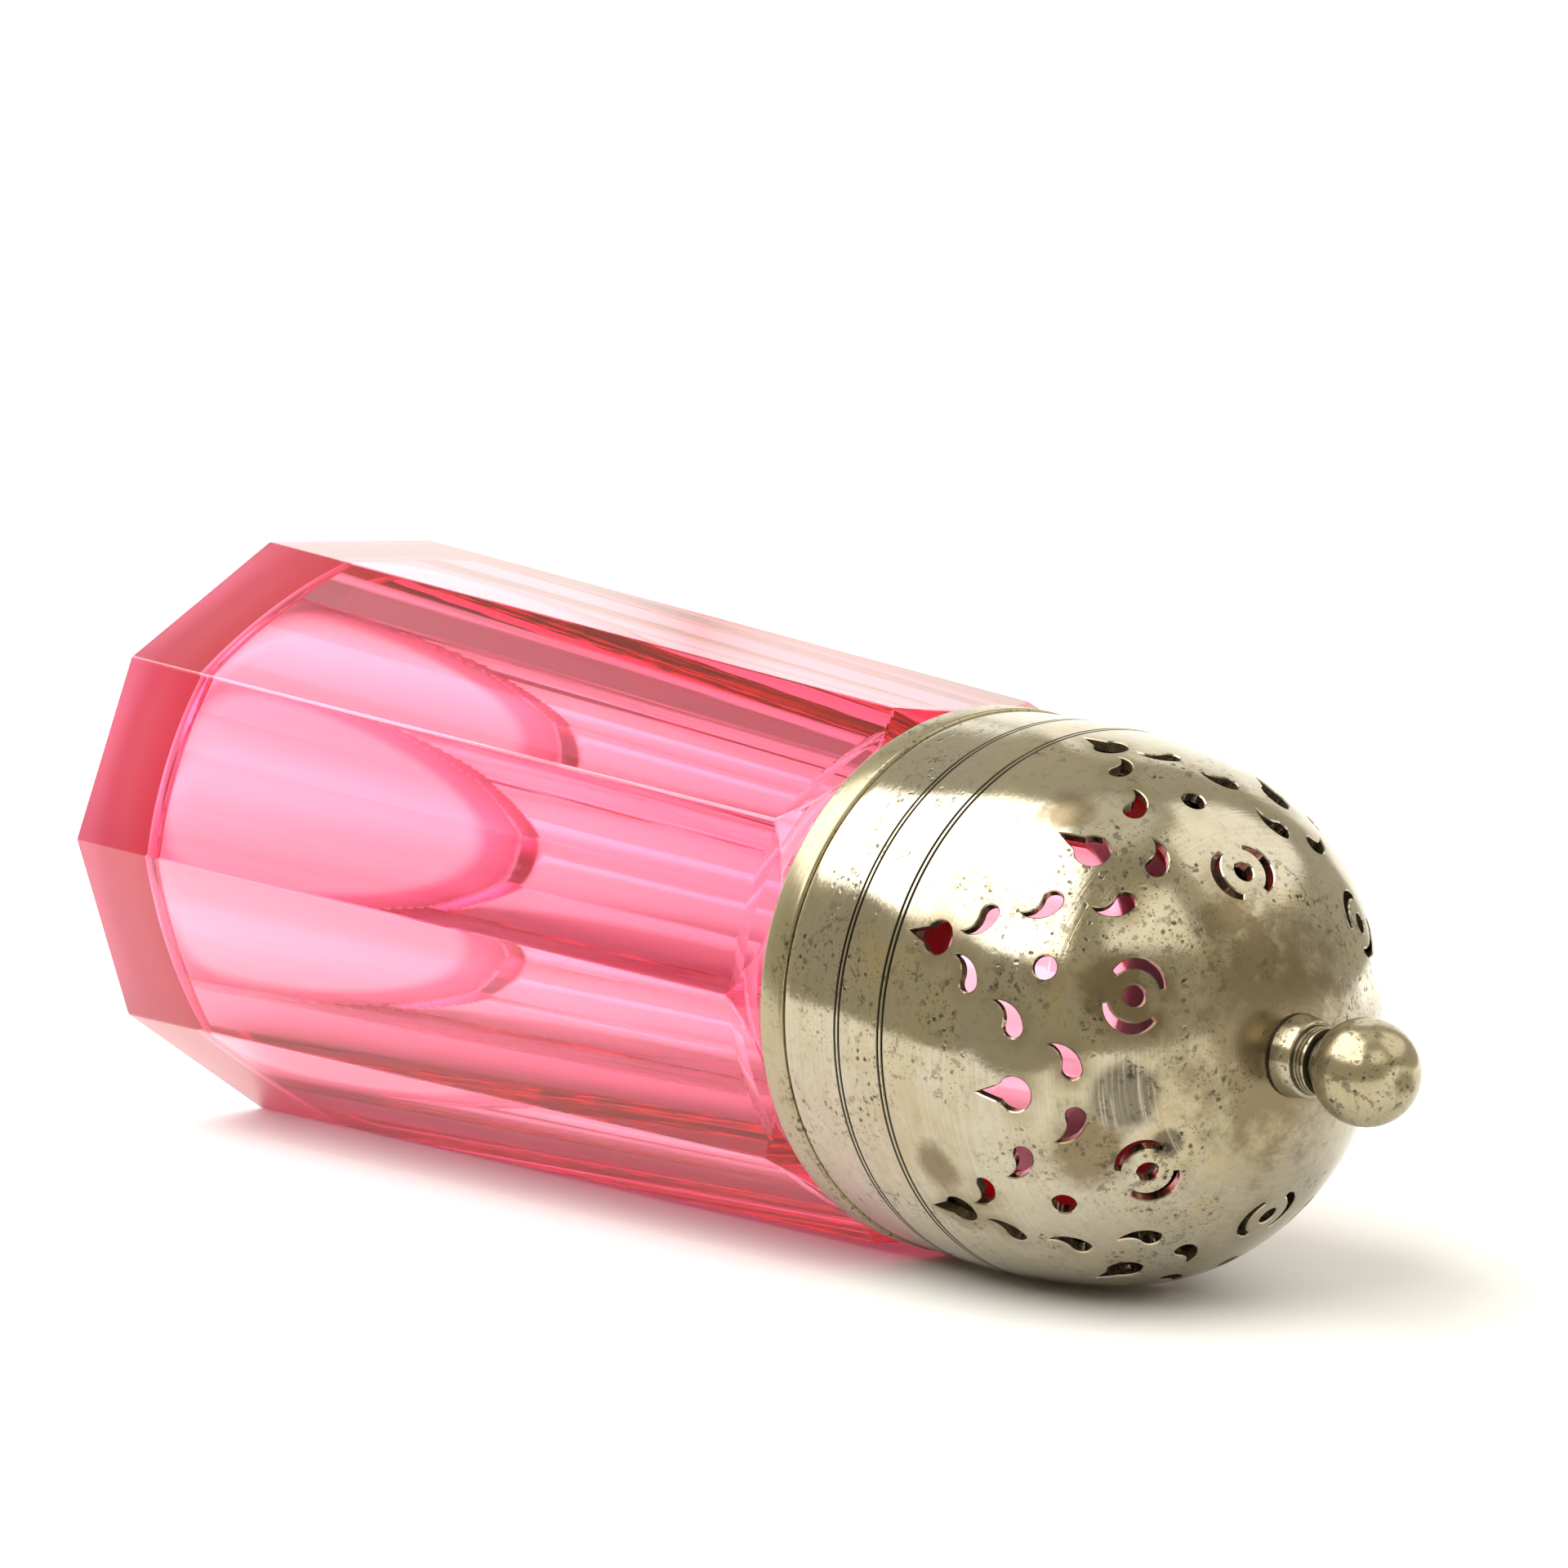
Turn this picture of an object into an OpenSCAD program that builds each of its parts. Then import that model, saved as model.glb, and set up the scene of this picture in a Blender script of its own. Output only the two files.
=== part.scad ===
// Sugar caster: a panel-cut glass body with a cemented metal collar and a pierced screw-on cover.
// The caster stands on its base at z = 0, with its axis along +Z.

/* [Glass body] */
// Number of flat panels ground round the body
panel_count = 10; // [6:1:14]
// Distance from the axis to a corner of the base
base_corner_r = 32; // [29:0.5:38]
// Height of the panel corners' upper ends
panel_h = 102.8; // [80:0.2:130]
// Height of the bevel between the panel corners and the collar
shoulder_h = 3.5; // [2:0.1:6]
// Width of the bevel between the panel corners and the collar
shoulder_w = 1.5; // [1:0.1:3]
// Width of the ground bevel round the foot
foot_bevel = 0.6; // [0.2:0.1:1.5]
// Thickness of the solid glass foot
foot_t = 5.8; // [4:0.2:14]
// Radius of the hollow just above its rounded floor
hollow_low_r = 24.6; // [20:0.2:25]
// Radius of the hollow below its upper shoulder
hollow_high_r = 16; // [15.5:0.2:19]
// Rounding between the hollow's floor and its wall
hollow_floor_round = 5.5; // [2:0.5:10]
// Height over which the hollow narrows to the mouth
hollow_neck_h = 9; // [4:0.5:16]
// Thickness of the glass round the mouth
mouth_wall = 3.3; // [2:0.1:5]

/* [Collar] */
// Step of the collar's flange beyond the cover's band
flange_step = 0.2; // [0:0.05:0.6]
// Height of the collar's flange
flange_h = 3; // [2:0.1:6]
// Height of the collar's neck above its flange
neck_h = 9.7; // [8.6:0.1:14]
// Thickness of the collar's metal
collar_t = 0.8; // [0.5:0.1:1.2]
// Thickness of the plaster between the collar and the glass
plaster_t = 1.1; // [0.6:0.1:2]

/* [Screw thread] */
// Rise of the cover in one turn
thread_pitch = 3.2; // [3:0.1:4.5]
// Height of a thread ridge off its wall
thread_depth = 1; // [0.6:0.1:1.2]
// Width of a thread ridge at its wall
thread_root_w = 1.6; // [1.2:0.1:1.7]
// Width of a thread ridge at its crest
thread_crest_w = 0.7; // [0.4:0.1:0.9]
// Height of the collar's ridge above its flange
thread_start_h = 2.4; // [2:0.1:3]
// Turns of ridge on the collar and in the sleeve
thread_turns = 1.5; // [1:0.25:1.5]
// Thickness of the sleeve's wall behind the ridge
sleeve_t = 1.1; // [0.8:0.1:1.6]
// Height of the sleeve
sleeve_h = 8; // [7.4:0.1:8.4]

/* [Cover] */
// Outer radius of the cover's plain band
cover_r = 23.3; // [22:0.1:26]
// Thickness of the cover's metal
cover_t = 0.9; // [0.6:0.05:1.2]
// Height of the plain band before the sides lean in
band_h = 6.6; // [6:0.1:12]
// Radius of the gentle curve of the sides
flank_radius = 60; // [40:1:90]
// Lean of the sides where they meet the shoulder curve
flank_lean = 12.5; // [11:0.5:15]
// Radius of the shoulder curve
cover_shoulder = 17.8; // [15:0.1:19]
// Lean of the surface where the crown begins
crown_lean = 40; // [36:1:45]
// Height of the lower engraved pair of lines above the cover's edge
lines_low = 7; // [4:0.1:9]
// Height of the upper engraved pair of lines above the cover's edge
lines_high = 12.2; // [10.5:0.1:13]
// Distance between the two lines of a pair
lines_gap = 0.45; // [0.3:0.05:0.8]
// Width and depth of an engraved line
line_w = 0.3; // [0.2:0.02:0.4]

/* [Piercing] */
// Number of pierced motifs round the cover
motif_count = 6; // [4:1:6]
// Turn of the first motif about the axis
motif_turn = 15; // [-30:1:30]
// Depth of the low drops below the top of the crown
low_drop_d = 19.2; // [18.2:0.1:19.6]
// Depth of the high drops below the top of the crown
high_drop_d = 11; // [10:0.1:12]
// Radius of a drop's round end
drop_r = 1.4; // [1:0.05:1.8]
// Length from a drop's round end to its point
drop_l = 3.2; // [2.6:0.1:3.8]
// Radius of a comma's round end
comma_r = 0.8; // [0.5:0.05:1]
// Length from a comma's round end to its point
comma_l = 2.7; // [2:0.1:3]
// Slant of a comma off the meridian
comma_slant = 44; // [30:1:60]
// Depth of the low commas below the top of the crown
low_comma_d = 15.3; // [14.8:0.1:15.8]
// Angle of the low commas from the motif's middle
low_comma_turn = 7.4; // [6:0.2:9]
// Depth of the middle commas below the top of the crown
mid_comma_d = 11.2; // [10.6:0.1:11.8]
// Angle of the middle commas from the motif's middle
mid_comma_turn = 15; // [13:0.5:16.5]
// Depth of the high commas below the top of the crown
high_comma_d = 7.3; // [6.8:0.1:7.8]
// Angle of the high commas from the motif's middle
high_comma_turn = 23.5; // [21.5:0.5:24.5]
// Depth of the round hole below the top of the crown
round_hole_d = 9.9; // [9.2:0.1:10.6]
// Radius of the round hole
round_hole_r = 0.95; // [0.5:0.05:1.3]
// Distance of an eye's middle from the axis
eye_ring_r = 14.2; // [12.5:0.1:14.8]
// Radius of an eye's middle hole
eye_r = 0.85; // [0.5:0.05:1.2]
// Inner radius of an eye's two crescents
crescent_r = 2.1; // [1.8:0.05:2.4]
// Width of a crescent at its middle
crescent_w = 0.85; // [0.5:0.05:1]
// Half of the angle that a crescent spans
crescent_half = 58; // [40:1:70]

/* [Finial] */
// Radius of the collet's wide foot
collet_foot_r = 3.35; // [2.8:0.05:4]
// Height of the collet's wide foot
collet_foot_h = 1.9; // [1.2:0.1:3]
// Radius of the collet's upper step
collet_step_r = 2.7; // [2.3:0.05:3.2]
// Height of the collet's upper step
collet_step_h = 1.2; // [0.8:0.1:3]
// Radius of the collet's neck
collet_neck_r = 2.2; // [1.8:0.05:2.3]
// Height of the collet's neck up to the ball
collet_neck_h = 0.5; // [0.4:0.1:2]
// Radius of the ball
ball_r = 4.2; // [3.4:0.1:6]
// Thickness of the ball's shell
ball_t = 0.7; // [0.5:0.1:1]
// Radius of the pin through the collet
pin_r = 1.2; // [0.8:0.05:1.4]
// Length of pin inside the ball
pin_in_ball = 4.5; // [2:0.1:6]
// Radius of the washer under the crown
washer_r = 4; // [3:0.1:5]
// Thickness of the washer
washer_t = 0.8; // [0.5:0.1:1.5]
// Radius of the pin's riveted head
rivet_r = 2; // [1.7:0.1:2.6]
// Height of the pin's riveted head
rivet_h = 0.9; // [0.5:0.1:1.5]

/* [Clearances] */
// Gap between the cover's edge and the collar's flange
seat_gap = 0.1; // [0.05:0.05:0.3]
// Gap of a cemented or soldered joint
joint_gap = 0.05; // [0.02:0.01:0.1]
// Gap between a thread ridge and the facing wall
thread_gap = 0.3; // [0.2:0.05:0.5]
// Gap round the loose washer
washer_gap = 0.1; // [0.05:0.05:0.2]

/* [Hidden] */

glass_colour = [0.93, 0.36, 0.53, 0.6];
plaster_colour = [0.86, 0.83, 0.76];
metal_colour = [0.68, 0.66, 0.55];
round_fn = 96;
cut_extra = 1;
bevel_angle = 45;

// Heights up the axis
rim_z = panel_h + shoulder_h;
seat_z = rim_z + flange_h;
neck_top_z = seat_z + neck_h;
cover_z = seat_z + seat_gap;

// Radii from the cover inwards
flank_z = cover_z + band_h;
sleeve_z = cover_z + cut_extra;
flank_in_radius = flank_radius - cover_t;
cover_in_r = cover_r - cover_t;
sleeve_lean = asin(max(0, sleeve_z + sleeve_h - flank_z) / flank_in_radius);
sleeve_out_r = cover_in_r - flank_in_radius * (1 - cos(sleeve_lean)) - joint_gap;
sleeve_in_r = sleeve_out_r - sleeve_t;
collar_out_r = sleeve_in_r - thread_depth - thread_gap;
collar_in_r = collar_out_r - collar_t;
neck_r = collar_in_r - plaster_t;
mouth_r = neck_r - mouth_wall;
flange_r = cover_r + flange_step;
skirt_in_r = flange_r - collar_t;

// Panels, shoulder and hollow of the glass
panel_half = 180 / panel_count;
shoulder_r = skirt_in_r + collar_t / 4;
panel_top_r = shoulder_r + shoulder_w;
base_flat_r = base_corner_r * cos(panel_half);
top_flat_r = panel_top_r * cos(panel_half);
panel_lean = atan((base_flat_r - top_flat_r) / panel_h);
blank_r = base_corner_r + cut_extra;
blank_z = panel_h - (blank_r - panel_top_r) * (shoulder_h - seat_gap) / shoulder_w;
ledge_rise = 1;
hollow_top_z = rim_z - hollow_neck_h;
hollow_top_round = hollow_high_r - mouth_r;
hollow_top_sweep = 60;

// Curves of the cover
flank_c = [cover_r - flank_radius, flank_z];
flank_end = flank_c + flank_radius * [cos(flank_lean), sin(flank_lean)];
shoulder_c = flank_end - cover_shoulder * [cos(flank_lean), sin(flank_lean)];
shoulder_end = shoulder_c + cover_shoulder * [cos(crown_lean), sin(crown_lean)];
crown_radius = shoulder_end.x / cos(crown_lean);
crown_z = shoulder_end.y - crown_radius * sin(crown_lean);
apex_z = crown_z + crown_radius;
curve_step = 4;

// Outlines of the piercings
drop_waist_r = 0.8 * drop_r;
comma_back_r = 0.8 * comma_l;
comma_front_r = 0.55 * comma_l;
crescent_bow = 0.35 * crescent_r;
eye_d = crown_radius - sqrt(pow(crown_radius, 2) - pow(eye_ring_r, 2));
comma_places = [[low_comma_d, low_comma_turn], [mid_comma_d, mid_comma_turn],
                [high_comma_d, high_comma_turn]];

// Finial heights
crown_in_radius = crown_radius - cover_t;
foot_seat_z = crown_z + sqrt(pow(crown_radius, 2) - pow(collet_foot_r, 2));
collet_step_z = apex_z + collet_foot_h;
collet_neck_z = collet_step_z + collet_step_h;
ball_low_z = collet_neck_z + collet_neck_h;
ball_z = ball_low_z + sqrt(pow(ball_r, 2) - pow(collet_neck_r, 2));
pin_hole_r = pin_r + joint_gap;
washer_hole_r = pin_r + washer_gap;
washer_top_z = crown_z + sqrt(pow(crown_in_radius, 2) - pow(washer_r, 2)) - washer_gap;
washer_z = washer_top_z - washer_t;
pin_low_z = washer_z - washer_gap;

// Thread ridges, a right-hand helix with the sleeve's ridge half a pitch below the collar's
ridge_sink = 0.35;
ridge_steps = 36;
ridge_fade = 8;
collar_ridge_z = seat_z + thread_start_h;
sleeve_ridge_z = sleeve_z + thread_root_w / 2 + 2 * joint_gap;
sleeve_ridge_turn = 360 * (sleeve_ridge_z - collar_ridge_z + thread_pitch / 2) / thread_pitch;

// Points on an arc, from one angle to another
function arc(centre, radius, from, to, steps) =
  [for (i = [0:steps]) let (a = from + (to - from) * i / steps) centre + radius * [cos(a), sin(a)]];

// Height of the glass under the collar at a distance from the axis
function ledge_z(r) = rim_z - seat_gap + ledge_rise * (shoulder_r - r) / (shoulder_r - neck_r);

// Lean of the cover's surface at a height, and its distance from the axis there
function cover_lean(z) =
  z < flank_z ? 0
  : z < flank_end.y ? asin((z - flank_z) / flank_radius)
  : z < shoulder_end.y ? asin((z - shoulder_c.y) / cover_shoulder)
  : asin((z - crown_z) / crown_radius);
function cover_radius(z) =
  z < flank_end.y ? flank_c.x + flank_radius * cos(cover_lean(z))
  : z < shoulder_end.y ? shoulder_c.x + cover_shoulder * cos(cover_lean(z))
  : crown_radius * cos(cover_lean(z));

// The curve of the cover from its plain band to the pin's hole, drawn in by an inset
function cover_curve(inset) = concat(
  arc(flank_c, flank_radius - inset, 0, flank_lean, 5),
  arc(shoulder_c, cover_shoulder - inset, flank_lean + curve_step, crown_lean, 8),
  arc([0, crown_z], crown_radius - inset, crown_lean + curve_step,
      acos(pin_hole_r / (crown_radius - inset)), 8));

function reversed(list) = [for (i = [len(list) - 1:-1:0]) list[i]];

// The small triangles that engrave a pair of lines at a height above the cover's edge
module engraved_pair(height) {
  z = cover_z + height;
  for (side = [-1, 1])
    translate([cover_radius(z + side * lines_gap / 2), z + side * lines_gap / 2])
      polygon([[-line_w, 0], [line_w, -line_w], [line_w, line_w]]);
}

// A helical ridge of tapered section from a wall's radius to its crest, fading out at both ends
module ridge(wall_r, crest_r, low_z, turn) {
  side = sign(crest_r - wall_r);
  steps = round(ridge_steps * thread_turns);
  rings = [for (k = [0:steps])
    let (a = turn + 360 * k / ridge_steps,
         z = low_z + thread_pitch * k / ridge_steps,
         fade = min(1, (k + 1) / ridge_fade, (steps + 1 - k) / ridge_fade),
         root = wall_r - side * ridge_sink,
         crest = wall_r + fade * (crest_r - wall_r),
         d = [cos(a), sin(a)])
    each [[root * d.x, root * d.y, z - side * thread_root_w / 2],
          [crest * d.x, crest * d.y, z - side * thread_crest_w / 2],
          [crest * d.x, crest * d.y, z + side * thread_crest_w / 2],
          [root * d.x, root * d.y, z + side * thread_root_w / 2]]];
  sides = [for (k = [0:steps - 1], i = [0:3])
    let (p = 4 * k + i, q = 4 * k + (i + 1) % 4)
    each [[p, q, q + 4], [p, q + 4, p + 4]]];
  last = 4 * steps;
  ends = [[2, 1, 0], [3, 2, 0], [last, last + 1, last + 2], [last, last + 2, last + 3]];
  polyhedron(rings, concat(sides, ends));
}

// Places a flat cutter square to the cover's surface, with its x axis towards the cover's edge
module through_cover(depth, turn) {
  z = apex_z - depth;
  rotate([0, 0, turn])
    translate([cover_radius(z), 0, z])
      rotate([0, 90 - cover_lean(z), 0])
        translate([0, 0, -2 * cover_t])
          linear_extrude(3 * cover_t) children();
}

module drop_shape() {
  circle(drop_r, $fn = round_fn);
  polygon([[drop_l, 0], [0, drop_waist_r], [0, -drop_waist_r]]);
}

// A comma with its point along +x, bowed towards +y: a round end, a bowed back and a hollow front
module comma_shape() {
  back = (pow(comma_l, 2) + pow(comma_back_r - comma_r, 2) - pow(comma_back_r, 2)) / (2 * comma_l);
  front = (pow(comma_l, 2) + pow(comma_front_r + comma_r, 2) - pow(comma_front_r, 2)) / (2 * comma_l);
  back_c = [back, -sqrt(pow(comma_back_r - comma_r, 2) - pow(back, 2))];
  front_c = [front, -sqrt(pow(comma_front_r + comma_r, 2) - pow(front, 2))];
  back_start = atan2(-back_c.y, -back_c.x);
  back_stop = atan2(-back_c.y, comma_l - back_c.x);
  front_start = atan2(-front_c.y, comma_l - front_c.x);
  front_stop = atan2(-front_c.y, -front_c.x);
  step = (front_stop - front_start) / 4;
  polygon(concat(
    arc([0, 0], comma_r, front_stop - 180, back_start - 360, 8),
    arc(back_c, comma_back_r, back_start - step, back_stop, 4),
    arc(front_c, comma_front_r, front_start + step, front_stop - step, 2)));
}

// A crescent across +y, thick at its middle and cut off square to its eye at both ends
module crescent_shape() {
  reach = 2 * crescent_r;
  end = reach * [sin(crescent_half), cos(crescent_half)];
  intersection() {
    polygon([[0, 0], end, [0, 2 * reach], [-end.x, end.y]]);
    difference() {
      translate([0, crescent_bow]) circle(crescent_r + crescent_w - crescent_bow, $fn = round_fn);
      circle(crescent_r, $fn = round_fn);
    }
  }
}

// One pierced motif: a low drop, three pairs of commas, a round hole and an eye, with a high drop beside it
module motif(turn) {
  through_cover(low_drop_d, turn) drop_shape();
  through_cover(high_drop_d, turn + 180 / motif_count) drop_shape();
  through_cover(round_hole_d, turn) circle(round_hole_r, $fn = round_fn);
  through_cover(eye_d, turn) circle(eye_r, $fn = round_fn);
  for (side = [0, 1]) {
    through_cover(eye_d, turn) rotate(180 * side) crescent_shape();
    for (place = comma_places)
      through_cover(place[0], turn + (2 * side - 1) * place[1])
        mirror([0, side, 0]) rotate(comma_slant) comma_shape();
  }
}

module glass_body() {
  color(glass_colour)
    difference() {
      rotate_extrude($fn = round_fn)
        polygon([[0, 0], [blank_r, 0], [blank_r, blank_z], [shoulder_r, rim_z - seat_gap],
                 [neck_r, rim_z - seat_gap + ledge_rise], [neck_r, neck_top_z], [0, neck_top_z]]);
      for (i = [0:panel_count - 1])
        rotate([0, 0, (2 * i + 1) * panel_half]) {
          translate([base_flat_r, 0, 0])
            rotate([0, -panel_lean, 0])
              translate([0, -blank_r, -blank_r])
                cube([blank_r, 2 * blank_r, panel_h + 2 * blank_r]);
          translate([base_flat_r - foot_bevel, 0, 0])
            rotate([0, bevel_angle, 0])
              translate([0, -blank_r, -blank_r])
                cube([blank_r, 2 * blank_r, 2 * blank_r]);
        }
      rotate_extrude($fn = round_fn)
        polygon(concat([[0, foot_t]],
          arc([hollow_low_r - hollow_floor_round, foot_t + hollow_floor_round],
              hollow_floor_round, -90, 0, 6),
          arc([mouth_r, hollow_top_z], hollow_top_round, 0, hollow_top_sweep, 4),
          [[mouth_r, rim_z], [mouth_r, neck_top_z + cut_extra], [0, neck_top_z + cut_extra]]));
    }
}

module plaster_bed() {
  color(plaster_colour)
    rotate_extrude($fn = round_fn)
      polygon([[skirt_in_r - joint_gap, rim_z],
               [skirt_in_r - joint_gap, seat_z - collar_t],
               [collar_in_r - joint_gap, seat_z - collar_t],
               [collar_in_r - joint_gap, neck_top_z],
               [neck_r + joint_gap, neck_top_z],
               [neck_r + joint_gap, ledge_z(neck_r) + joint_gap],
               [skirt_in_r - joint_gap, ledge_z(skirt_in_r - joint_gap) + joint_gap]]);
}

module neck_collar() {
  color(metal_colour) {
    rotate_extrude($fn = round_fn)
      polygon([[skirt_in_r, rim_z], [flange_r, rim_z], [flange_r, seat_z], [collar_out_r, seat_z],
               [collar_out_r, neck_top_z], [collar_in_r, neck_top_z],
               [collar_in_r, seat_z - collar_t], [skirt_in_r, seat_z - collar_t]]);
    ridge(collar_out_r, collar_out_r + thread_depth, collar_ridge_z, 0);
  }
}

module cover_dome() {
  color(metal_colour)
    difference() {
      rotate_extrude($fn = round_fn)
        difference() {
          polygon(concat([[cover_r, cover_z]], cover_curve(0),
                         reversed(cover_curve(cover_t)), [[cover_in_r, cover_z]]));
          engraved_pair(lines_low);
          engraved_pair(lines_high);
        }
      for (i = [0:motif_count - 1])
        motif(motif_turn + 360 * i / motif_count);
    }
}

module thread_sleeve() {
  color(metal_colour) {
    translate([0, 0, sleeve_z])
      difference() {
        cylinder(h = sleeve_h, r = sleeve_out_r, $fn = round_fn);
        translate([0, 0, -cut_extra])
          cylinder(h = sleeve_h + 2 * cut_extra, r = sleeve_in_r, $fn = round_fn);
      }
    ridge(sleeve_in_r, sleeve_in_r - thread_depth, sleeve_ridge_z, sleeve_ridge_turn);
  }
}

module finial_collet() {
  color(metal_colour)
    rotate_extrude($fn = round_fn)
      difference() {
        polygon([[pin_hole_r, apex_z], [collet_foot_r, apex_z - collet_foot_h],
                 [collet_foot_r, collet_step_z], [collet_step_r, collet_step_z],
                 [collet_step_r, collet_neck_z], [collet_neck_r, collet_neck_z],
                 [collet_neck_r, ball_low_z], [pin_hole_r, ball_low_z]]);
        translate([0, crown_z]) circle(crown_radius + joint_gap, $fn = round_fn);
        translate([0, ball_z]) circle(ball_r + joint_gap, $fn = round_fn);
      }
}

module finial_ball() {
  color(metal_colour)
    translate([0, 0, ball_z])
      difference() {
        sphere(ball_r, $fn = round_fn);
        sphere(ball_r - ball_t, $fn = round_fn);
        translate([0, 0, -2 * ball_r]) cylinder(h = 2 * ball_r, r = pin_hole_r, $fn = round_fn);
      }
}

module finial_pin() {
  pin_top_z = ball_z - ball_r + pin_in_ball;
  color(metal_colour) {
    translate([0, 0, pin_low_z - rivet_h]) {
      cylinder(h = pin_top_z - pin_low_z + rivet_h, r = pin_r, $fn = round_fn);
      cylinder(h = rivet_h, r = rivet_r, $fn = round_fn);
    }
  }
}

module finial_washer() {
  color(metal_colour)
    translate([0, 0, washer_z])
      difference() {
        cylinder(h = washer_t, r = washer_r, $fn = round_fn);
        translate([0, 0, -cut_extra])
          cylinder(h = washer_t + 2 * cut_extra, r = washer_hole_r, $fn = round_fn);
      }
}

glass_body();
plaster_bed();
neck_collar();
cover_dome();
thread_sleeve();
finial_collet();
finial_ball();
finial_pin();
finial_washer();
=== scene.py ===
"""Looks of a cranberry glass sugar caster with a pierced, plated screw cover."""

import math

import bmesh
import bpy
from mathutils import Matrix, Vector
from mathutils.bvhtree import BVHTree
from mathutils.kdtree import KDTree


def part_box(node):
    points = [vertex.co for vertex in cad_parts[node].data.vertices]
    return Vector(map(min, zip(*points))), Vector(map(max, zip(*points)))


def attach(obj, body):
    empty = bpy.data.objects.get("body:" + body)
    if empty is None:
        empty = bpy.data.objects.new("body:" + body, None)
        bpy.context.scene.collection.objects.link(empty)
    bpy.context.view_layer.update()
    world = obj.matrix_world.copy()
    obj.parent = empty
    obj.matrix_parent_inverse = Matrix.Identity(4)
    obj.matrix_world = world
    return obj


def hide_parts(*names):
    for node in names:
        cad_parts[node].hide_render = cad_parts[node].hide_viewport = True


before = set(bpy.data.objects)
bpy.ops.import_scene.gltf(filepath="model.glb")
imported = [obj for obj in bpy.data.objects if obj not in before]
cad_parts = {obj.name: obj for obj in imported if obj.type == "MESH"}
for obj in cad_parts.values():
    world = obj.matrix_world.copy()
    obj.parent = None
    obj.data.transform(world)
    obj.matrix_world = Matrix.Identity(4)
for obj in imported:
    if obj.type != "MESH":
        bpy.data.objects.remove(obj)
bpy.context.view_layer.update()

bl_info = {
    "name": "Sugar caster",
    "version": (1, 0, 0),
    "blender": (4, 5, 0),
    "location": "View3D > Sidebar > Caster",
    "description": "Models the finished surfaces of a panel-cut glass sugar caster",
    "category": "Object",
}

MM = 0.001
WHITE = (1, 1, 1, 1)
PLASTER_DARK = (0.72, 0.67, 0.56, 1)
PLASTER_PALE = (0.88, 0.84, 0.75, 1)
# Steps of each turned piece in one turn
LATHE_STEPS = 240
GLASS_STEPS = 480
COVER_STEPS = 360
COLLET_STEPS = 120
BALL_STEPS = 144
RIDGE_STEPS = 96
# Distances under which points are welded, are one point, or are kept off the axis
WELD = 1e-6
SAME_POINT = 1e-7
OFF_AXIS = 1e-5
# Edges sharper than these stay sharp when shaded, or count as ground edges of the glass
SMOOTH_LIMIT = math.radians(32)
GROUND_EDGE = math.radians(12)
GLASS_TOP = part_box("glass_body")[1].z
COLLAR_LOW, COLLAR_TOP = (corner.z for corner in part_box("neck_collar"))
COVER_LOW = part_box("cover_dome")[0].z
COLLET_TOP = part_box("finial_collet")[1].z
BALL_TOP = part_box("finial_ball")[1].z

# How far the plate of each piece has aged
AGES = {"cover": 0.0, "collar": 0.1, "collet": 0.04, "ball": 0.09, "inside": 0.16}
# Bounces of light that the thick glass needs
BOUNCES = {"max_bounces": 32, "transmission_bounces": 32, "glossy_bounces": 12,
           "transparent_max_bounces": 16}
# Patches of the sky: brightness, first and last turn from the way to the camera, low and high edge and
# softness, in degrees
SKY_PATCHES = (
    ("shade", 30, 180, -90, 70, 6),
    ("shade", -180, -112, -90, 70, 6),
    ("ceiling", -180, 180, 72, 90, 5),
    ("wall", -180, -118, -90, 0, 2),
    ("wall", 146, 180, -90, 0, 2),
    ("backdrop", -180, -118, -2, 30, 2),
    ("backdrop", 146, 180, -2, 42, 2),
    ("window", -140, -20, 27, 76, 1.5),
    ("side", 0, 40, 27, 52, 3),
    ("lamp", 58, 125, 27, 67, 3),
)
# Dents in the cover: depth below its apex, turn in degrees, depth of the dent and reach, in millimetres
COVER_DENTS = ((10.5, 30, 0.2, 5), (13.4, 38, 0.12, 4), (17.7, 25, 0.12, 5), (6.6, 31, -0.1, 4))
# Rubbed spots and brown stains on the cover: depth below its apex, turn in degrees and reach
COVER_RUBS = ((4.7, 47, 3.3), (3.4, 68, 1.6))
COVER_STAINS = ((0.1, 0, 11.5), (7.2, 62, 3.5), (6.0, 15, 3.0), (3.2, -26, 2.6), (1.8, -33, 2.4),
                (14.8, -21, 2.6), (19.3, 64, 2.4))
# Dents in the ball: turn and tilt in radians, depth of the dent and reach in millimetres
BALL_DENTS = ((0.07, 1.4, 0.16, 1.7), (-0.8, 0.06, 0.12, 1.5))


def length(name, description, millimetres):
    """A size that the user can change, given in millimetres."""
    return bpy.props.FloatProperty(name=name, description=description, default=millimetres * MM,
                                   unit="LENGTH", precision=5)


def angle(name, description, degrees):
    """An angle that the user can change, given in degrees."""
    return bpy.props.FloatProperty(name=name, description=description, default=math.radians(degrees),
                                   subtype="ANGLE")


def colour(name, description, red, green, blue):
    """A colour that the user can change, in linear light."""
    return bpy.props.FloatVectorProperty(name=name, description=description, default=(red, green, blue),
                                         subtype="COLOR", size=3, min=0, max=1)


def number(name, description, value):
    """A plain number that the user can change."""
    return bpy.props.FloatProperty(name=name, description=description, default=value)


def three(name, description, values, **kind):
    """Three numbers that the user can change, such as a place or a direction."""
    return bpy.props.FloatVectorProperty(name=name, description=description, size=3, default=values, **kind)


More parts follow.
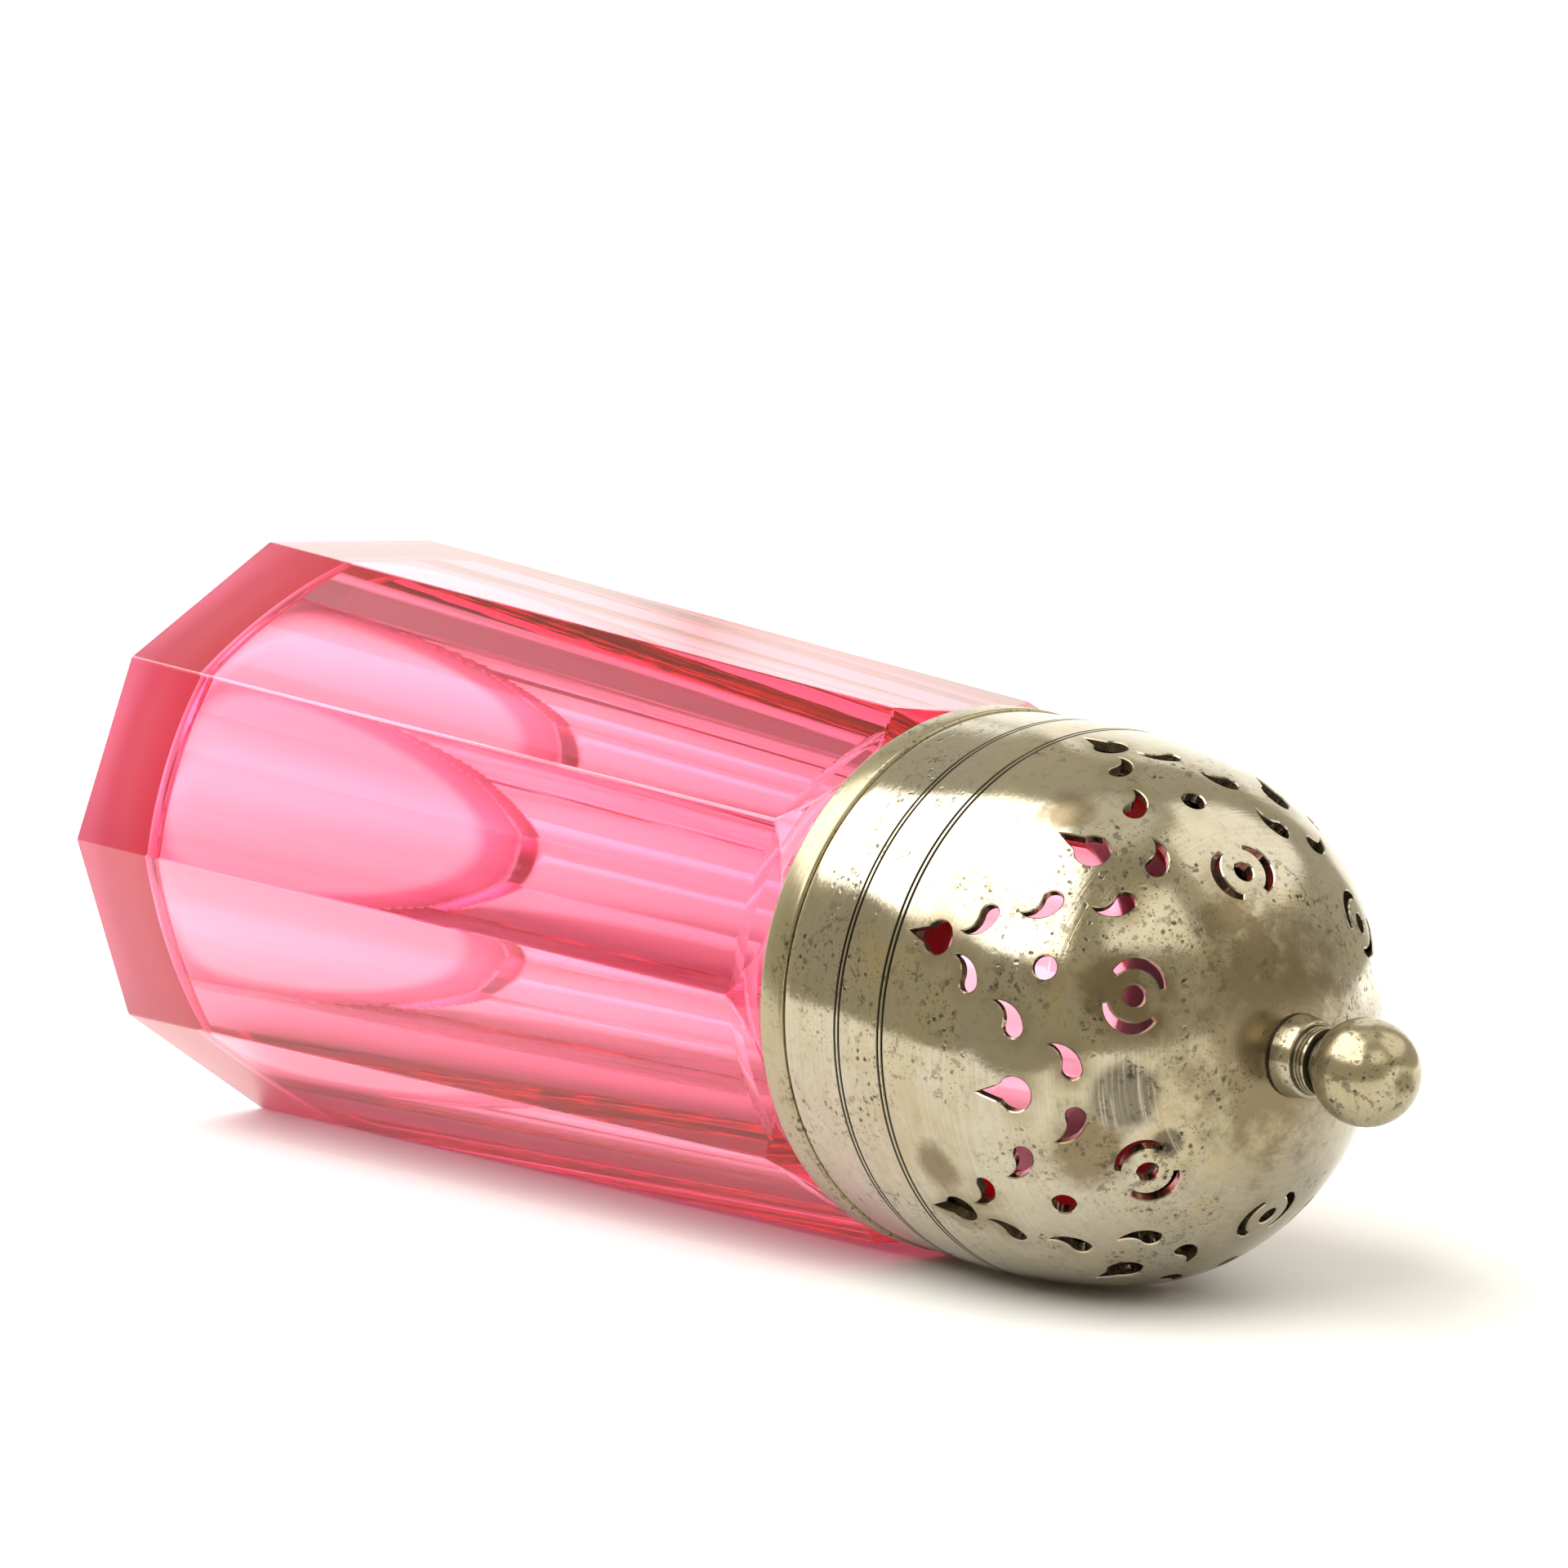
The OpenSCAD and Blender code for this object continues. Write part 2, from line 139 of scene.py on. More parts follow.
class GlassSizes(bpy.types.PropertyGroup):
    """Sizes and colour of the glass body"""
    panel_count: bpy.props.IntProperty(name="Panels", description="Flat panels round the body", default=10)
    corner_r: length("Base corner", "From the axis to a corner of the base", 32)
    panel_top_r: length("Upper corner", "From the axis to a panel corner at its upper end", 24.4)
    panel_h: length("Panel height", "Height of the panel corners' upper ends", 102.8)
    shoulder_r: length("Shoulder", "Radius of the glass under the collar", 22.9)
    shoulder_z: length("Shoulder height", "Height of the glass under the collar", 106.2)
    neck_r: length("Neck", "Radius of the glass neck", 18)
    mouth_r: length("Mouth", "Radius of the mouth", 14.7)
    foot_bevel: length("Foot bevel", "Width of the ground bevel round the foot", 0.6)
    foot_t: length("Foot", "Thickness of the solid foot", 5.8)
    hollow_low_r: length("Lower hollow", "Radius of the hollow above its rounded floor", 24.6)
    hollow_high_r: length("Upper hollow", "Radius of the hollow below its upper shoulder", 16)
    floor_round: length("Floor rounding", "Rounding between the hollow's floor and its wall", 5.5)
    hollow_top_z: length("Hollow height", "Height where the hollow narrows", 97.3)
    edge_bevel: length("Edge bevel", "Softening of the panel edges", 0.18)
    foot_rough: number("Foot roughness", "Roughness of the scratched underside", 0.35)
    blown_rough: number("Blown roughness", "Slight unevenness of the other surfaces", 0.03)
    # Painted shade: a dark brown tint on the glass lip that stands for the shaded inside of the cover, seen
    # through the piercings
    lip: colour("Lip", "Brown residue on the glass lip under the cover", 0.10, 0.055, 0.04)
    absorbed: colour("Tint", "Light that the glass lets through", 0.93, 0.06, 0.36)
    underside: colour("Underside", "Deeper tint round the foot's underside", 0.88, 0.22, 0.40)
    density: number("Density", "Strength of the tint for a metre of glass", 105)


class CoverSizes(bpy.types.PropertyGroup):
    """Sizes of the cover"""
    radius: length("Band", "Outer radius of the plain band", 23.3)
    wall: length("Wall", "Thickness of the metal", 0.9)
    edge_round: length("Edge", "Rounding of the cover's lower edge", 0.3)
    band_h: length("Band height", "Height of the plain band", 6.6)
    flank_radius: length("Flank", "Radius of the gentle curve of the sides", 60)
    flank_lean: angle("Flank lean", "Lean of the sides where they meet the shoulder", 12.5)
    shoulder: length("Shoulder", "Radius of the shoulder curve", 17.8)
    crown_lean: angle("Crown lean", "Lean of the surface where the crown begins", 40)
    hole_r: length("Pin hole", "Radius of the hole under the finial", 1.25)
    lines_low: length("Lower lines", "Height of the lower engraved pair above the edge", 7)
    lines_high: length("Upper lines", "Height of the upper engraved pair above the edge", 12.2)
    lines_gap: length("Line gap", "Distance between the two lines of a pair", 0.48)
    line_w: length("Line", "Width and depth of an engraved line", 0.26)
    ripple: length("Ripple", "Unevenness left by spinning and use", 0.16)
    ripple_w: length("Ripple width", "Distance over which the surface waves", 13)


class PiercingSizes(bpy.types.PropertyGroup):
    """Sizes and places of the piercings, with depths below the top of the crown"""
    count: bpy.props.IntProperty(name="Motifs", description="Pierced motifs round the cover", default=6)
    turn: angle("First motif", "Turn of the first motif about the axis", 15)
    chamfer: length("Chamfer", "Softened edge of a piercing", 0.1)
    low_drop_d: length("Low drop", "Depth of the low drops", 19.2)
    high_drop_d: length("High drop", "Depth of the high drops", 11)
    drop_r: length("Drop", "Radius of a drop's round end", 1.4)
    drop_l: length("Drop length", "From a drop's round end to its point", 3.2)
    comma_r: length("Comma", "Radius of a comma's round end", 0.8)
    comma_l: length("Comma length", "From a comma's round end to its point", 2.7)
    comma_slant: angle("Comma slant", "Slant of a comma off the meridian", 44)
    comma_depths: three("Comma depths", "Depths of the low, middle and high commas",
                        (0.0153, 0.0112, 0.0073), unit="LENGTH")
    comma_turns: three("Comma turns", "Angles of the low, middle and high commas from the motif's middle",
                       [math.radians(turn) for turn in (7.4, 15, 23.5)], unit="ROTATION")
    round_d: length("Round hole depth", "Depth of the round hole", 9.9)
    round_r: length("Round hole", "Radius of the round hole", 0.95)
    eye_ring_r: length("Eye ring", "Distance of an eye's middle from the axis", 14.2)
    eye_r: length("Eye", "Radius of an eye's middle hole", 0.85)
    crescent_r: length("Crescent", "Inner radius of an eye's two crescents", 2.1)
    crescent_w: length("Crescent width", "Width of a crescent at its middle", 0.85)
    crescent_half: angle("Crescent span", "Half of the angle that a crescent spans", 58)


class CollarSizes(bpy.types.PropertyGroup):
    """Sizes of the threaded collar"""
    flange_r: length("Flange", "Outer radius of the flange", 23.5)
    flange_h: length("Flange height", "Height of the flange", 3)
    flange_round: length("Flange edge", "Rounding of the flange's edges", 0.35)
    neck_r: length("Neck", "Outer radius of the collar's neck", 19.9)
    wall: length("Wall", "Thickness of the metal", 0.8)
    pitch: length("Pitch", "Rise of the thread in one turn", 3.2)
    ridge_h: length("Ridge", "Height of the thread ridge off the collar", 1)
    ridge_root: length("Ridge root", "Width of the thread ridge at the collar", 1.6)
    ridge_crest: length("Ridge crest", "Width of the thread ridge at its crest", 0.7)
    ridge_start: length("Ridge start", "Height of the ridge's start above the flange", 2.4)
    ridge_turns: number("Ridge turns", "Turns of the thread ridge", 1.5)


class FinialSizes(bpy.types.PropertyGroup):
    """Sizes of the finial"""
    foot_r: length("Foot", "Radius of the collet's wide foot", 3.35)
    foot_h: length("Foot height", "Height of the collet's wide foot", 1.9)
    step_r: length("Step", "Radius of the collet's upper step", 2.7)
    step_h: length("Step height", "Height of the collet's upper step", 1.2)
    neck_r: length("Neck", "Radius of the collet's neck", 2.2)
    ball_r: length("Ball", "Radius of the ball", 4.2)
    ball_wall: length("Ball wall", "Thickness of the ball's shell", 0.7)


class MetalColours(bpy.types.PropertyGroup):
    """Colours of the worn plate"""
    plate: colour("Plate", "Clean plated metal", 0.46, 0.42, 0.33)
    tarnish: colour("Tarnish", "Yellowish film on the plate", 0.39, 0.335, 0.21)
    stain: colour("Stain", "Brown stain in spots and round the piercings", 0.19, 0.145, 0.08)
    brass: colour("Brass", "Base metal where the plate has worn thin", 0.50, 0.38, 0.19)
    # Dark colour of soiled pits and joints, and of the painted shade in the engraved lines and creases
    grime_and_crease_shade: colour("Grime", "Dark grime in pits and joints", 0.05, 0.042, 0.03)


class StageLook(bpy.types.PropertyGroup):
    """Camera, floor and light"""
    lens: number("Lens", "Focal length in millimetres for a sensor 36 wide", 86.25)
    camera_place: three("Camera", "Place of the camera", (0.20046, 0.07634, 0.34825), unit="LENGTH")
    camera_forward: three("Forward", "Way that the camera looks", (-0.56157, -0.2541, -0.78745),
                          subtype="DIRECTION")
    camera_up: three("Up", "Upper side of the picture", (0.5417, -0.83228, -0.11776), subtype="DIRECTION")
    rest_turn: angle("Resting side", "Direction from the axis to the panel that lies on the floor", 126)
    floor_w: length("Floor", "Width of the floor", 6000)
    floor_front: length("Floor front", "Reach of the floor from the cover to its front edge", 110)
    front_turn: angle("Front turn", "Turn of the floor's front edge", -34)
    floor_white: colour("Floor colour", "Colour of the floor", 0.88, 0.88, 0.88)
    glow_near: length("Glow start", "Distance from the caster where the floor starts to glow", 160)
    glow_far: length("Glow end", "Distance from the caster where the floor is all glow", 420)
    room: colour("Room", "Dim light of the room that comes from all round", 0.50, 0.455, 0.335)
    shade: number("Shade", "Brightness of the room's right side and of its back above the backdrop", 0.15)
    ceiling: number("Ceiling", "Brightness of the ceiling", 0.55)
    wall: number("Wall", "Brightness of the far floor and of what lies behind it", 2.3)
    backdrop: number("Backdrop", "Brightness of the backdrop above the floor's far edge", 1.1)
    window: number("Window", "Brightness of the large window on the left", 4.0)
    side: number("Side light", "Brightness of the soft light in front", 1.3)
    lamp: number("Lamp", "Brightness of the soft light on the right", 1.3)


def clear_selection():
    """Leaves nothing selected, so that an operator acts on the new piece alone."""
    bpy.ops.object.select_all(action="DESELECT")


def only(piece):
    """Selects one piece and makes it active."""
    clear_selection()
    piece.select_set(True)
    bpy.context.view_layer.objects.active = piece


def edit(piece):
    """Opens a piece in edit mode with all of it selected."""
    only(piece)
    bpy.ops.object.mode_set(mode="EDIT")
    bpy.ops.mesh.select_mode(type="VERT")
    select_all()


def select_all():
    """Selects all of the piece in edit mode."""
    bpy.ops.mesh.select_all(action="SELECT")


def face_outwards():
    """Turns the faces of the piece in edit mode outwards and leaves edit mode."""
    select_all()
    bpy.ops.mesh.normals_make_consistent(inside=False)
    leave_edit()


def leave_edit():
    """Goes back to object mode."""
    bpy.ops.object.mode_set(mode="OBJECT")


def pick(piece, kind, test):
    """Selects the faces, edges or verts of a piece in edit mode that pass a test."""
    bpy.ops.mesh.select_mode(type=kind)
    bpy.ops.mesh.select_all(action="DESELECT")
    mesh = bmesh.from_edit_mesh(piece.data)
    group = {"VERT": mesh.verts, "EDGE": mesh.edges, "FACE": mesh.faces}[kind]
    for item in group:
        if test(item):
            item.select_set(True)
    mesh.select_flush_mode()
    bmesh.update_edit_mesh(piece.data)


def arc(centre, radius, start, stop, steps):
    """Points on an arc in the plane of radius and height."""
    turns = (start + (stop - start) * i / steps for i in range(steps + 1))
    return [(centre[0] + radius * math.cos(a), centre[1] + radius * math.sin(a)) for a in turns]


def eased(corners, steps=4):
    """A closed profile of (radius, height, rounding) corners, with each rounding drawn as a curve."""
    points = []
    for i, (r, z, rounding) in enumerate(corners):
        here = Vector((r, z))
        before = Vector(corners[i - 1][:2]) - here
        after = Vector(corners[(i + 1) % len(corners)][:2]) - here
        if rounding == 0:
            points.append((r, z))
            continue
        first = here + before.normalized() * rounding
        last = here + after.normalized() * rounding
        for k in range(steps + 1):
            t = k / steps
            points.append(tuple(first * (1 - t) ** 2 + here * 2 * t * (1 - t) + last * t * t))
    return points + points[:1]


def lathe(name, profile, steps=LATHE_STEPS):
    """Turns a profile of (radius, height) points about the axis into a closed piece."""
    clear_selection()
    bpy.ops.mesh.primitive_plane_add(size=MM)
    piece = bpy.context.object
    piece.name = piece.data.name = name
    edit(piece)
    bpy.ops.mesh.merge(type="CENTER")
    bpy.ops.transform.translate(value=(profile[0][0], 0, profile[0][1]))
    for before, after in zip(profile, profile[1:]):
        step = (after[0] - before[0], 0, after[1] - before[1])
        bpy.ops.mesh.extrude_region_move(TRANSFORM_OT_translate={"value": step})
    select_all()
    bpy.ops.mesh.spin(steps=steps, angle=math.tau, center=(0, 0, 0), axis=(0, 0, 1))
    select_all()
    bpy.ops.mesh.remove_doubles(threshold=WELD)
    face_outwards()
    return piece


def apply(piece, kind, **settings):
    """Adds a modifier to a piece and applies it."""
    only(piece)
    modifier = piece.modifiers.new(kind.lower(), kind)
    for name, value in settings.items():
        setattr(modifier, name, value)
    bpy.ops.object.modifier_apply(modifier=modifier.name)


def combine(piece, other, operation):
    """Cuts another piece out of this one, or fuses it on, and removes the other."""
    apply(piece, "BOOLEAN", object=other, operation=operation, solver="EXACT")
    bpy.data.objects.remove(other)


def press(piece, place, depth, reach):
    """Presses a soft-edged dent of a depth into a piece, inwards from a place on it."""
    edit(piece)
    mesh = bmesh.from_edit_mesh(piece.data)
    nearest = min(mesh.verts, key=lambda v: (v.co - place).length)
    spot = nearest.co.copy()
    push = nearest.normal * -depth
    pick(piece, "VERT", lambda v: (v.co - spot).length < SAME_POINT)
    bpy.ops.transform.translate(value=push, use_proportional_edit=True, proportional_edit_falloff="SMOOTH",
                                proportional_size=reach, use_proportional_connected=True)
    leave_edit()


def smooth(piece):
    """Shades a piece smooth but for its sharp edges."""
    only(piece)
    bpy.ops.object.shade_smooth_by_angle(angle=SMOOTH_LIMIT)


def dress(piece, material):
    """Gives a piece one material."""
    piece.data.materials.clear()
    piece.data.materials.append(material)


def hand_over(piece, body, slot, *nodes):
    """Hangs a new piece on the body that it rides on and hides the nodes that it stands for. The slot is
    not used.
    """
    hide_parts(*nodes)
    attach(piece, body)


class Value:
    """A number that changes over a surface, with Python's operators for its Math nodes."""

    def __init__(self, nodes, socket):
        self.nodes = nodes
        self.socket = socket

    def math(self, operation, *others):
        """What a Math node makes of this number and others."""
        values = dict(enumerate([self, *others]))
        node = self.nodes.node("ShaderNodeMath", {"operation": operation}, values)
        return Value(self.nodes, node.outputs[0])

    def __add__(self, other):
        return self.math("ADD", other)

    def __mul__(self, other):
        return self.math("MULTIPLY", other)

    __radd__ = __add__
    __rmul__ = __mul__

    def __sub__(self, other):
        return self.math("SUBTRACT", other)

    def __rsub__(self, other):
        return self.math("MULTIPLY_ADD", -1, other)

    def __truediv__(self, other):
        return self.math("DIVIDE", other)

    def __pow__(self, other):
        return self.math("POWER", other)

    def size(self):
        """The number without its sign."""
        return self.math("ABSOLUTE")

    def above(self, low, high):
        """0 below a low value, 1 above a high one and smooth between."""
        node = self.nodes.node("ShaderNodeMapRange", {"interpolation_type": "SMOOTHSTEP"},
                               {"Value": self, "From Min": low, "From Max": high})
        return Value(self.nodes, node.outputs["Result"])

    def below(self, low, high):
        """1 below a low value, 0 above a high one and smooth between."""
        return 1 - self.above(low, high)

    def between(self, low, high, fade):
        """1 between two values and 0 outside them, with a soft edge at both."""
        return self.above(low - fade, low + fade) * self.below(high - fade, high + fade)


class Nodes:
    """A node tree, built node by node."""

    def __init__(self, tree):
        self.tree = tree
        self.tree.nodes.clear()

    def link(self, out, into):
        """Links one node's output to another's input."""
        self.tree.links.new(out, into)

    def node(self, kind, settings=None, sockets=None):
        """Adds a node, sets its settings, then its sockets to values or links."""
        node = self.tree.nodes.new(kind)
        for name, value in (settings or {}).items():
            setattr(node, name, value)
        for key, value in (sockets or {}).items():
            self.feed(node.inputs[key], value)
        return node

    def feed(self, socket, value):
        """Links a value, or sets it on the socket."""
        if isinstance(value, Value):
            self.link(value.socket, socket)
        elif isinstance(value, bpy.types.NodeSocket):
            self.link(value, socket)
        else:
            socket.default_value = value

    def measure(self, operation, vector, other):
        """A number worked out from two vectors."""
        node = self.node("ShaderNodeVectorMath", {"operation": operation}, {0: vector, 1: other})
        return Value(self, node.outputs["Value"])

    def along(self, vector, axis):
        """How far a vector reaches along an axis."""
        return self.measure("DOT_PRODUCT", vector, axis)

    def distance(self, vector, place):
        """Distance of a vector from a place."""
        return self.measure("DISTANCE", vector, place)


class Finish(Nodes):
    """One material with a single shader."""

    def __init__(self, name):
        self.material = bpy.data.materials.new(name)
        self.material.use_nodes = True
        super().__init__(self.material.node_tree)
        self.output = self.node("ShaderNodeOutputMaterial")
        self.shader = self.node("ShaderNodeBsdfPrincipled")
        self.link(self.shader.outputs[0], self.output.inputs["Surface"])
        self.place = self.node("ShaderNodeTexCoord").outputs["Object"]

    def set(self, **sockets):
        """Sets or links the shader's sockets, named with underscores for spaces."""
        for name, value in sockets.items():
            self.feed(self.shader.inputs[name.replace("_", " ")], value)

    def axes(self):
        """The three coordinates of a place on the piece."""
        split = self.node("ShaderNodeSeparateXYZ", None, {"Vector": self.place})
        return [Value(self, out) for out in split.outputs]

    def radius(self):
        """Distance of a place on the piece from the axis."""
        x, y = self.axes()[:2]
        return (x * x + y * y) ** 0.5

    def noise(self, scale, detail=2.0, vector=None, roughness=0.5):
        """Cloudy noise, over the piece or over another vector."""
        sockets = {"Vector": vector or self.place, "Scale": scale, "Detail": detail, "Roughness": roughness}
        return Value(self, self.node("ShaderNodeTexNoise", None, sockets).outputs["Fac"])

    def spun(self, wander, fineness, detail, roughness=0.5):
        """Noise drawn out into the marks of turning about the axis."""
        x, y, z = self.axes()
        radius = self.radius() + OFF_AXIS
        sockets = {"X": x / radius * wander, "Y": y / radius * wander, "Z": (z - radius) * fineness}
        marks = self.node("ShaderNodeCombineXYZ", None, sockets).outputs[0]
        return self.noise(1.0, detail, marks, roughness)

    def shaken(self, scale, reach):
        """Places on the piece, each moved a little by noise, for ragged outlines."""
        push = self.node("ShaderNodeTexNoise", None, {"Vector": self.place, "Scale": scale, "Detail": 2.0})
        moved = self.node("ShaderNodeVectorMath", {"operation": "MULTIPLY_ADD"},
                          {0: push.outputs["Color"], 1: (reach, reach, reach), 2: self.place})
        return moved.outputs["Vector"]

    def cells(self, scale, vector):
        """Distance of a vector from the nearest of scattered points."""
        sockets = {"Vector": vector, "Scale": scale}
        return Value(self, self.node("ShaderNodeTexVoronoi", None, sockets).outputs["Distance"])

    def attribute(self, name):
        """A number stored on the piece's points."""
        return Value(self, self.node("ShaderNodeAttribute", {"attribute_name": name}).outputs["Fac"])

    def blend(self, factor, under, over):
        """A colour mixed from two others."""
        sockets = {"Factor": factor, 6: under, 7: over}
        return self.node("ShaderNodeMix", {"data_type": "RGBA"}, sockets).outputs[2]

    def mixed(self, factor, first, second):
        """A shader mixed from two others."""
        return self.node("ShaderNodeMixShader", None, {0: factor, 1: first, 2: second}).outputs[0]

    def bump(self, height, distance):
        """Raises the shading by a height."""
        sockets = {"Height": height, "Distance": distance, "Strength": 1.0}
        self.set(Normal=self.node("ShaderNodeBump", None, sockets).outputs[0])


def rgba(colour_value):
    """A colour with full alpha."""
    return (*colour_value, 1.0)


def cranberry_glass(sizes):
    """Pink glass tinted by its depth, with a scratched foot and painted shade on its lip: a dark brown tint
    for the shaded inside of the cover.
    """
    finish = Finish("cranberry_glass")
    height = finish.axes()[2]
    scratched = height.below(0.05 * MM, 0.3 * MM)
    ring = finish.radius().above(sizes.hollow_low_r - 5 * MM, sizes.hollow_low_r)
    underside = height.below(0.2 * MM, 0.8 * MM) * ring
    # Painted shade on the lip, which darkens the glass seen through the piercings the way the shaded inside
    # of the cover would
    lip = height.above(sizes.shoulder_z + 1.5 * MM, sizes.shoulder_z + 4 * MM)
    skin = finish.blend(lip, WHITE, rgba(sizes.lip))
    skin = finish.blend(underside, skin, rgba(sizes.underside))
    rough = scratched * sizes.foot_rough + lip * 0.3 + sizes.blown_rough
    finish.set(Base_Color=skin, Roughness=rough, IOR=1.5, Transmission_Weight=1.0)
    volume = finish.node("ShaderNodeVolumeAbsorption", None,
                         {"Color": rgba(sizes.absorbed), "Density": sizes.density})
    finish.link(volume.outputs[0], finish.output.inputs["Volume"])
    return finish.material


def plate_soil_and_crease_shade(finish, haze, grain, clusters, lines):
    """Pits in the plate, and the soiling in pits, specks, freckles and scratches, with painted shade and
    soiling that darken the creases and engraved lines.
    """
    ragged = finish.shaken(scale=1500, reach=0.5 * MM)
    pits = finish.cells(1150, ragged).below(0.12, 0.30) * clusters * haze.above(0.40, 0.54)
    speckled = (grain * 0.5 + clusters * 0.25).above(0.27, 0.42)
    specks = finish.cells(2600, ragged).below(0.10, 0.28) * speckled
    blots = finish.noise(1250, detail=3, vector=ragged, roughness=0.55).above(0.56, 0.65)
    freckles = blots * (clusters * 0.75 + 0.25)
    scratched = finish.spun(wander=5, fineness=8000, detail=2).above(0.63, 0.70)
    dirt_and_crease_shade = (pits * 0.95 + specks * 0.7 + freckles * 0.55 + scratched * 0.14).math("MINIMUM", 1.0)
    z = finish.axes()[2]
    # Painted shade: each engraved line or crease is darkened to near black, partly soiling and partly the
    # shade that falls in it
    for height, width in lines:
        dirt_and_crease_shade = dirt_and_crease_shade.math("MAXIMUM", (z - height).size().below(width * 0.45, width * 0.62))
    return pits, dirt_and_crease_shade


def plate_stain(finish, cloud, haze, age, stains, pierced):
    """Brown stain round the piercings and in ragged spots, or an even one where there are none."""
    brown = age
    if pierced:
        brown = finish.attribute("pierced").above(0.3, 1.0) * cloud.above(0.4, 0.6) * 0.8
    for place, reach in stains:
        ragged = finish.distance(finish.place, place) + (haze - 0.5) * reach * 1.7
        brown = ragged.below(reach * 0.4, reach * 1.15) * 0.95 + brown
    return brown.math("MINIMUM", 1.0) if isinstance(brown, Value) else brown


def worn_plate(name, colours, age, lines=(), rubs=(), stains=(), pierced=False):
    """Plate with a yellowed film, spinning marks, pits, painted shade with soiling in lines, rubbed spots
    and stains.
    """
    finish = Finish(name)
    brushed = finish.spun(wander=1.6, fineness=2600, detail=4, roughness=0.65)
    cloud = finish.noise(62, detail=4, roughness=0.6)
    haze = finish.noise(340, detail=5, roughness=0.68)
    grain = finish.noise(2300, detail=3, roughness=0.6)
    clusters = (finish.noise(135, detail=3) + age * 0.4).above(0.45, 0.62)
    film = (cloud * 0.5 + haze * 0.28 + brushed * 0.22 + age).above(0.38, 0.63)
    drifts = finish.noise(105, detail=4, vector=finish.shaken(scale=50, reach=9 * MM), roughness=0.6)
    bare = drifts.above(0.56, 0.72) * brushed.above(0.3, 0.62)
    pits, dirt_and_crease_shade = plate_soil_and_crease_shade(finish, haze, grain, clusters, lines)
    brown = plate_stain(finish, cloud, haze, age, stains, pierced)
    worn = age * 0.5
    for place, reach in rubs:
        spot = finish.distance(finish.place, place).below(reach * 0.6, reach)
        worn = spot * brushed.above(0.26, 0.52) + worn
    body = finish.blend(film, rgba(colours.plate), rgba(colours.tarnish))
    body = finish.blend(bare * 0.7, body, rgba(colours.brass))
    body = finish.blend(brown, body, rgba(colours.stain))
    # Soiled pits, worn spots and the painted shade in the lines and creases darken the body
    body = finish.blend(dirt_and_crease_shade * 0.95 + worn * 0.7, body, rgba(colours.grime_and_crease_shade))
    rough = 0.05 + age * 0.6 + film * 0.06 + dirt_and_crease_shade * 0.12 + brown * 0.12 + brushed * 0.05 + worn * 0.2
    finish.set(Base_Color=body, Metallic=1 - film * 0.16 - brown * 0.15, Roughness=rough)
    finish.bump(brushed * 0.3 + haze * 0.35 + grain * 0.12 - pits * 0.5 - worn * 0.2, 0.03 * MM)
    return finish.material


def setting_plaster():
    """Matt plaster with a fine grain."""
    finish = Finish("setting_plaster")
    grain = finish.noise(900, detail=4)
    finish.set(Base_Color=finish.blend(grain, PLASTER_DARK, PLASTER_PALE), Roughness=0.9)
    finish.bump(grain, 0.2 * MM)
    return finish.material


